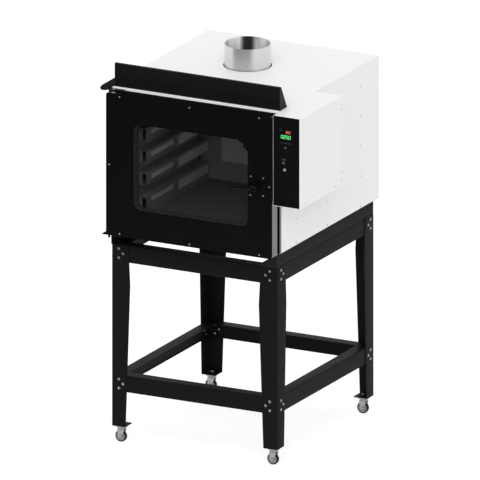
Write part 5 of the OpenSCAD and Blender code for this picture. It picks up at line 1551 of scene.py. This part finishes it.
class OVEN_OT_hinges(bpy.types.Operator):
    """Builds the hinge ears, brackets and pins"""
    bl_idname = "oven.hinges"
    bl_label = "Hinges"

    def execute(self, context):
        look = context.scene.oven_door
        softened("hinge_straps", "hinge_ears", 0.8, "brushed_steel_level", "frame_steel", "door")
        low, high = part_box("hinge_pins")
        pin = ((low.x + high.x) / 2, (low.y + high.y) / 2)
        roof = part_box("top_panel")[1].z
        self.make_brackets(look, pin, roof)
        self.make_pins(look, pin, low.z, high.z, roof)
        return {"FINISHED"}

    def make_brackets(self, look, pin, roof):
        """A plate with a round nose on the roof's edge and a pointed one on the base rail."""
        low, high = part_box("hinge_brackets")
        sheet, play, under = look.hinge_sheet, 0.15 * MM, 1 * MM
        bore = circle(pin, look.pin + play)
        shape = Shape()
        wide, nose_x, nose_y, bend = 49 * MM, 37 * MM, 69 * MM, 12 * MM
        right = low.x + wide
        outline = [*arc((low.x + nose_x, low.y + nose_y), (nose_x, nose_y), 180, 270, 14),
                   *arc((right - bend, low.y + bend), bend, -90, 0, 6), (right, high.y), (low.x, high.y)]
        shape.plate(outline, [bore], roof, roof + sheet, lay_z)
        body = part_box("side_panel_left")[0]
        tab_front, tab_drop, joined = body.y + 16 * MM, 40 * MM, 0.2 * MM
        shape.block((body.x - sheet, tab_front, roof - tab_drop), (body.x, high.y, roof + joined))
        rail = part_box("base_rail_left")[0]
        top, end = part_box("hinge_ears")[0].z - under, rail.y - play
        left, nose, foot = pin[0] - 26 * MM, pin[0] + 13 * MM, pin[1] - 17 * MM
        back, tab, small, large = rail.y + 65 * MM, rail.y + 20 * MM, 3 * MM, 5 * MM
        outline = [*arc((left + small, foot + small), small, 180, 270, 4),
                   *arc((nose - large, foot + large), large, -90, 0, 4), (nose, end),
                   (rail.x, end), (rail.x, back), (left, back)]
        shape.plate(outline, [bore], top - sheet, top, lay_z)
        shape.block((rail.x - sheet, tab, low.z), (rail.x, back, top - joined))
        shape.finished("hinge_plates", "hinge_powder_coat", "hood_black", nodes=["hinge_brackets"],
                       edge=0.8 * MM)
        spots = around((body.y, roof), (46, -22), (101, -22), (156, -22))
        cross_screws("hinge_bracket_screws", [((body.x - sheet, y, z), LEFTWARD) for y, z in spots])

    def make_pins(self, look, pin, foot, top, roof):
        """Hinge pins with chamfered ends, collars and a domed head on the upper one."""
        ear_low, ear_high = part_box("hinge_ears")
        radius, collar = look.pin, look.collar
        low, high, plate = ear_low.z, ear_high.z, roof + look.hinge_sheet
        bore, thick, gap, roof_gap = radius - 0.4 * MM, 1 * MM, 0.15 * MM, 0.1 * MM
        upper = [(0, high - 6 * MM), *around((radius, high), (-0.6, -6), (0, -5.4)),
                 *around((radius, plate), (0, 0), (2, 0), (1.7, 0.9)), (radius - thick, top), (0, top)]
        ring = [(bore, high + gap), (collar, high + gap), (collar, roof - roof_gap), (bore, roof - roof_gap)]
        lower = [(0, foot), *around((radius, foot), (-1.4, 0), (0, 2)), (radius, low - thick),
                 (collar, low - thick), (collar, low - gap),
                 *around((radius, low), (0, -0.15), (0, 5.4), (-0.6, 6)), (0, low + 6 * MM)]
        for name, profile, closed, finish, slot, nodes in (
                ("hinge_bolt_upper", upper, False, "hinge_powder_coat", "hood_black", ["hinge_pins"]),
                ("hinge_collar", ring, True, "brushed_steel_level", "frame_steel", []),
                ("hinge_bolt_lower", lower, False, "pin_black_oxide", "frame_steel", [])):
            shape = Shape().turned(profile, (*pin, 0), steps=40, ring=closed)
            shape.finished(name, finish, slot, nodes=nodes, angle=30)


class OVEN_OT_handle(bpy.types.Operator):
    """Builds the lever with its boss, and the latch behind the door"""
    bl_idname = "oven.handle"
    bl_label = "Handle"

    def execute(self, context):
        low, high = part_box("handle_lever")
        radius, deep = (high.z - low.z) / 2, 12 * MM
        axis = (high.x - radius, 0, (low.z + high.z) / 2)
        back = low.y + deep
        shape = Shape()
        self.add_arm(shape, low, back, axis, radius)
        boss = [(0, low.y + 1.2 * MM), (radius * 0.55, low.y + 0.9 * MM),
                (radius * 0.62, low.y + 0.2 * MM), (radius * 0.86, low.y), (radius * 0.97, low.y + 0.9 * MM),
                (radius, low.y + 2.4 * MM), *around((radius, back), (0, 6), (-1.4, 9)),
                (radius - 1.4 * MM, high.y), (0, high.y)]
        shape.turned(boss, axis, "Y", 56)
        shape.finished("lever_arm", "handle_plastic", "handle_black", "handle", ["handle_lever"], angle=35)
        softened("latch_spindle", "latch_tongue", 0.6, "screw_steel", "frame_steel", "handle")
        return {"FINISHED"}

    def add_arm(self, shape, low, back, axis, radius):
        """The arm, which grows and rises from a slim round tip into the boss."""
        start, stop = low.x + 15 * MM, axis[0] - 0.32 * radius
        tip_z, more_z, growth = 3.9 * MM, 7.4 * MM, 1.1
        tip_y, more_y = 4.2 * MM, 0.3 * MM
        tip_drop, rise = 11 * MM, 8 * MM
        tip, thinnest, fullness = 0.034, 0.01, 2.6
        sections = []
        for s in (0.0, 0.002, 0.006, 0.013, 0.022, tip, *[i / 12 for i in range(1, 13)]):
            swell = max(1 - (1 - min(s / tip, 1.0)) ** 2, thinnest) ** 0.5
            half_z, half_y = (tip_z + more_z * s ** growth) * swell, (tip_y + more_y * s) * swell
            centre = (axis[2] - tip_drop + rise * s, (low.y + back) / 2)
            outline = superellipse(centre, half_z, half_y, fullness, 28)
            sections.append([(start + (stop - start) * s, y, z) for z, y in outline])
        shape.loft(sections)


# Add-on

OPERATORS = (OVEN_OT_stage, OVEN_OT_stand, OVEN_OT_stand_bolts, OVEN_OT_casters, OVEN_OT_shell,
             OVEN_OT_panel_screws, OVEN_OT_chamber, OVEN_OT_fan, OVEN_OT_gas_parts, OVEN_OT_flue,
             OVEN_OT_hood, OVEN_OT_control_box, OVEN_OT_controls, OVEN_OT_door, OVEN_OT_door_screws,
             OVEN_OT_hinges, OVEN_OT_handle)


class OVEN_PT_sidebar(bpy.types.Panel):
    """Lists the oven's pieces"""
    bl_label = "Convection Oven"
    bl_space_type = "VIEW_3D"
    bl_region_type = "UI"
    bl_category = "Oven"

    def draw(self, context):
        for key, group in GROUPS.items():
            box = self.layout.box()
            for field in group.__annotations__:
                box.prop(getattr(context.scene, key), field)
        for operator in OPERATORS:
            self.layout.operator(operator.bl_idname)


def register():
    """Registers the settings, the operators and the panel."""
    for cls in (*GROUPS.values(), *OPERATORS, OVEN_PT_sidebar):
        bpy.utils.register_class(cls)
    for key, group in GROUPS.items():
        setattr(bpy.types.Scene, key, bpy.props.PointerProperty(type=group))


def unregister():
    """Takes them away again."""
    for key in GROUPS:
        delattr(bpy.types.Scene, key)
    for cls in (OVEN_PT_sidebar, *reversed(OPERATORS), *GROUPS.values()):
        bpy.utils.unregister_class(cls)


def main():
    """Builds the oven piece by piece."""
    register()
    for operator in OPERATORS:
        group, name = operator.bl_idname.split(".")
        getattr(getattr(bpy.ops, group), name)()


if __name__ == "__main__":
    main()
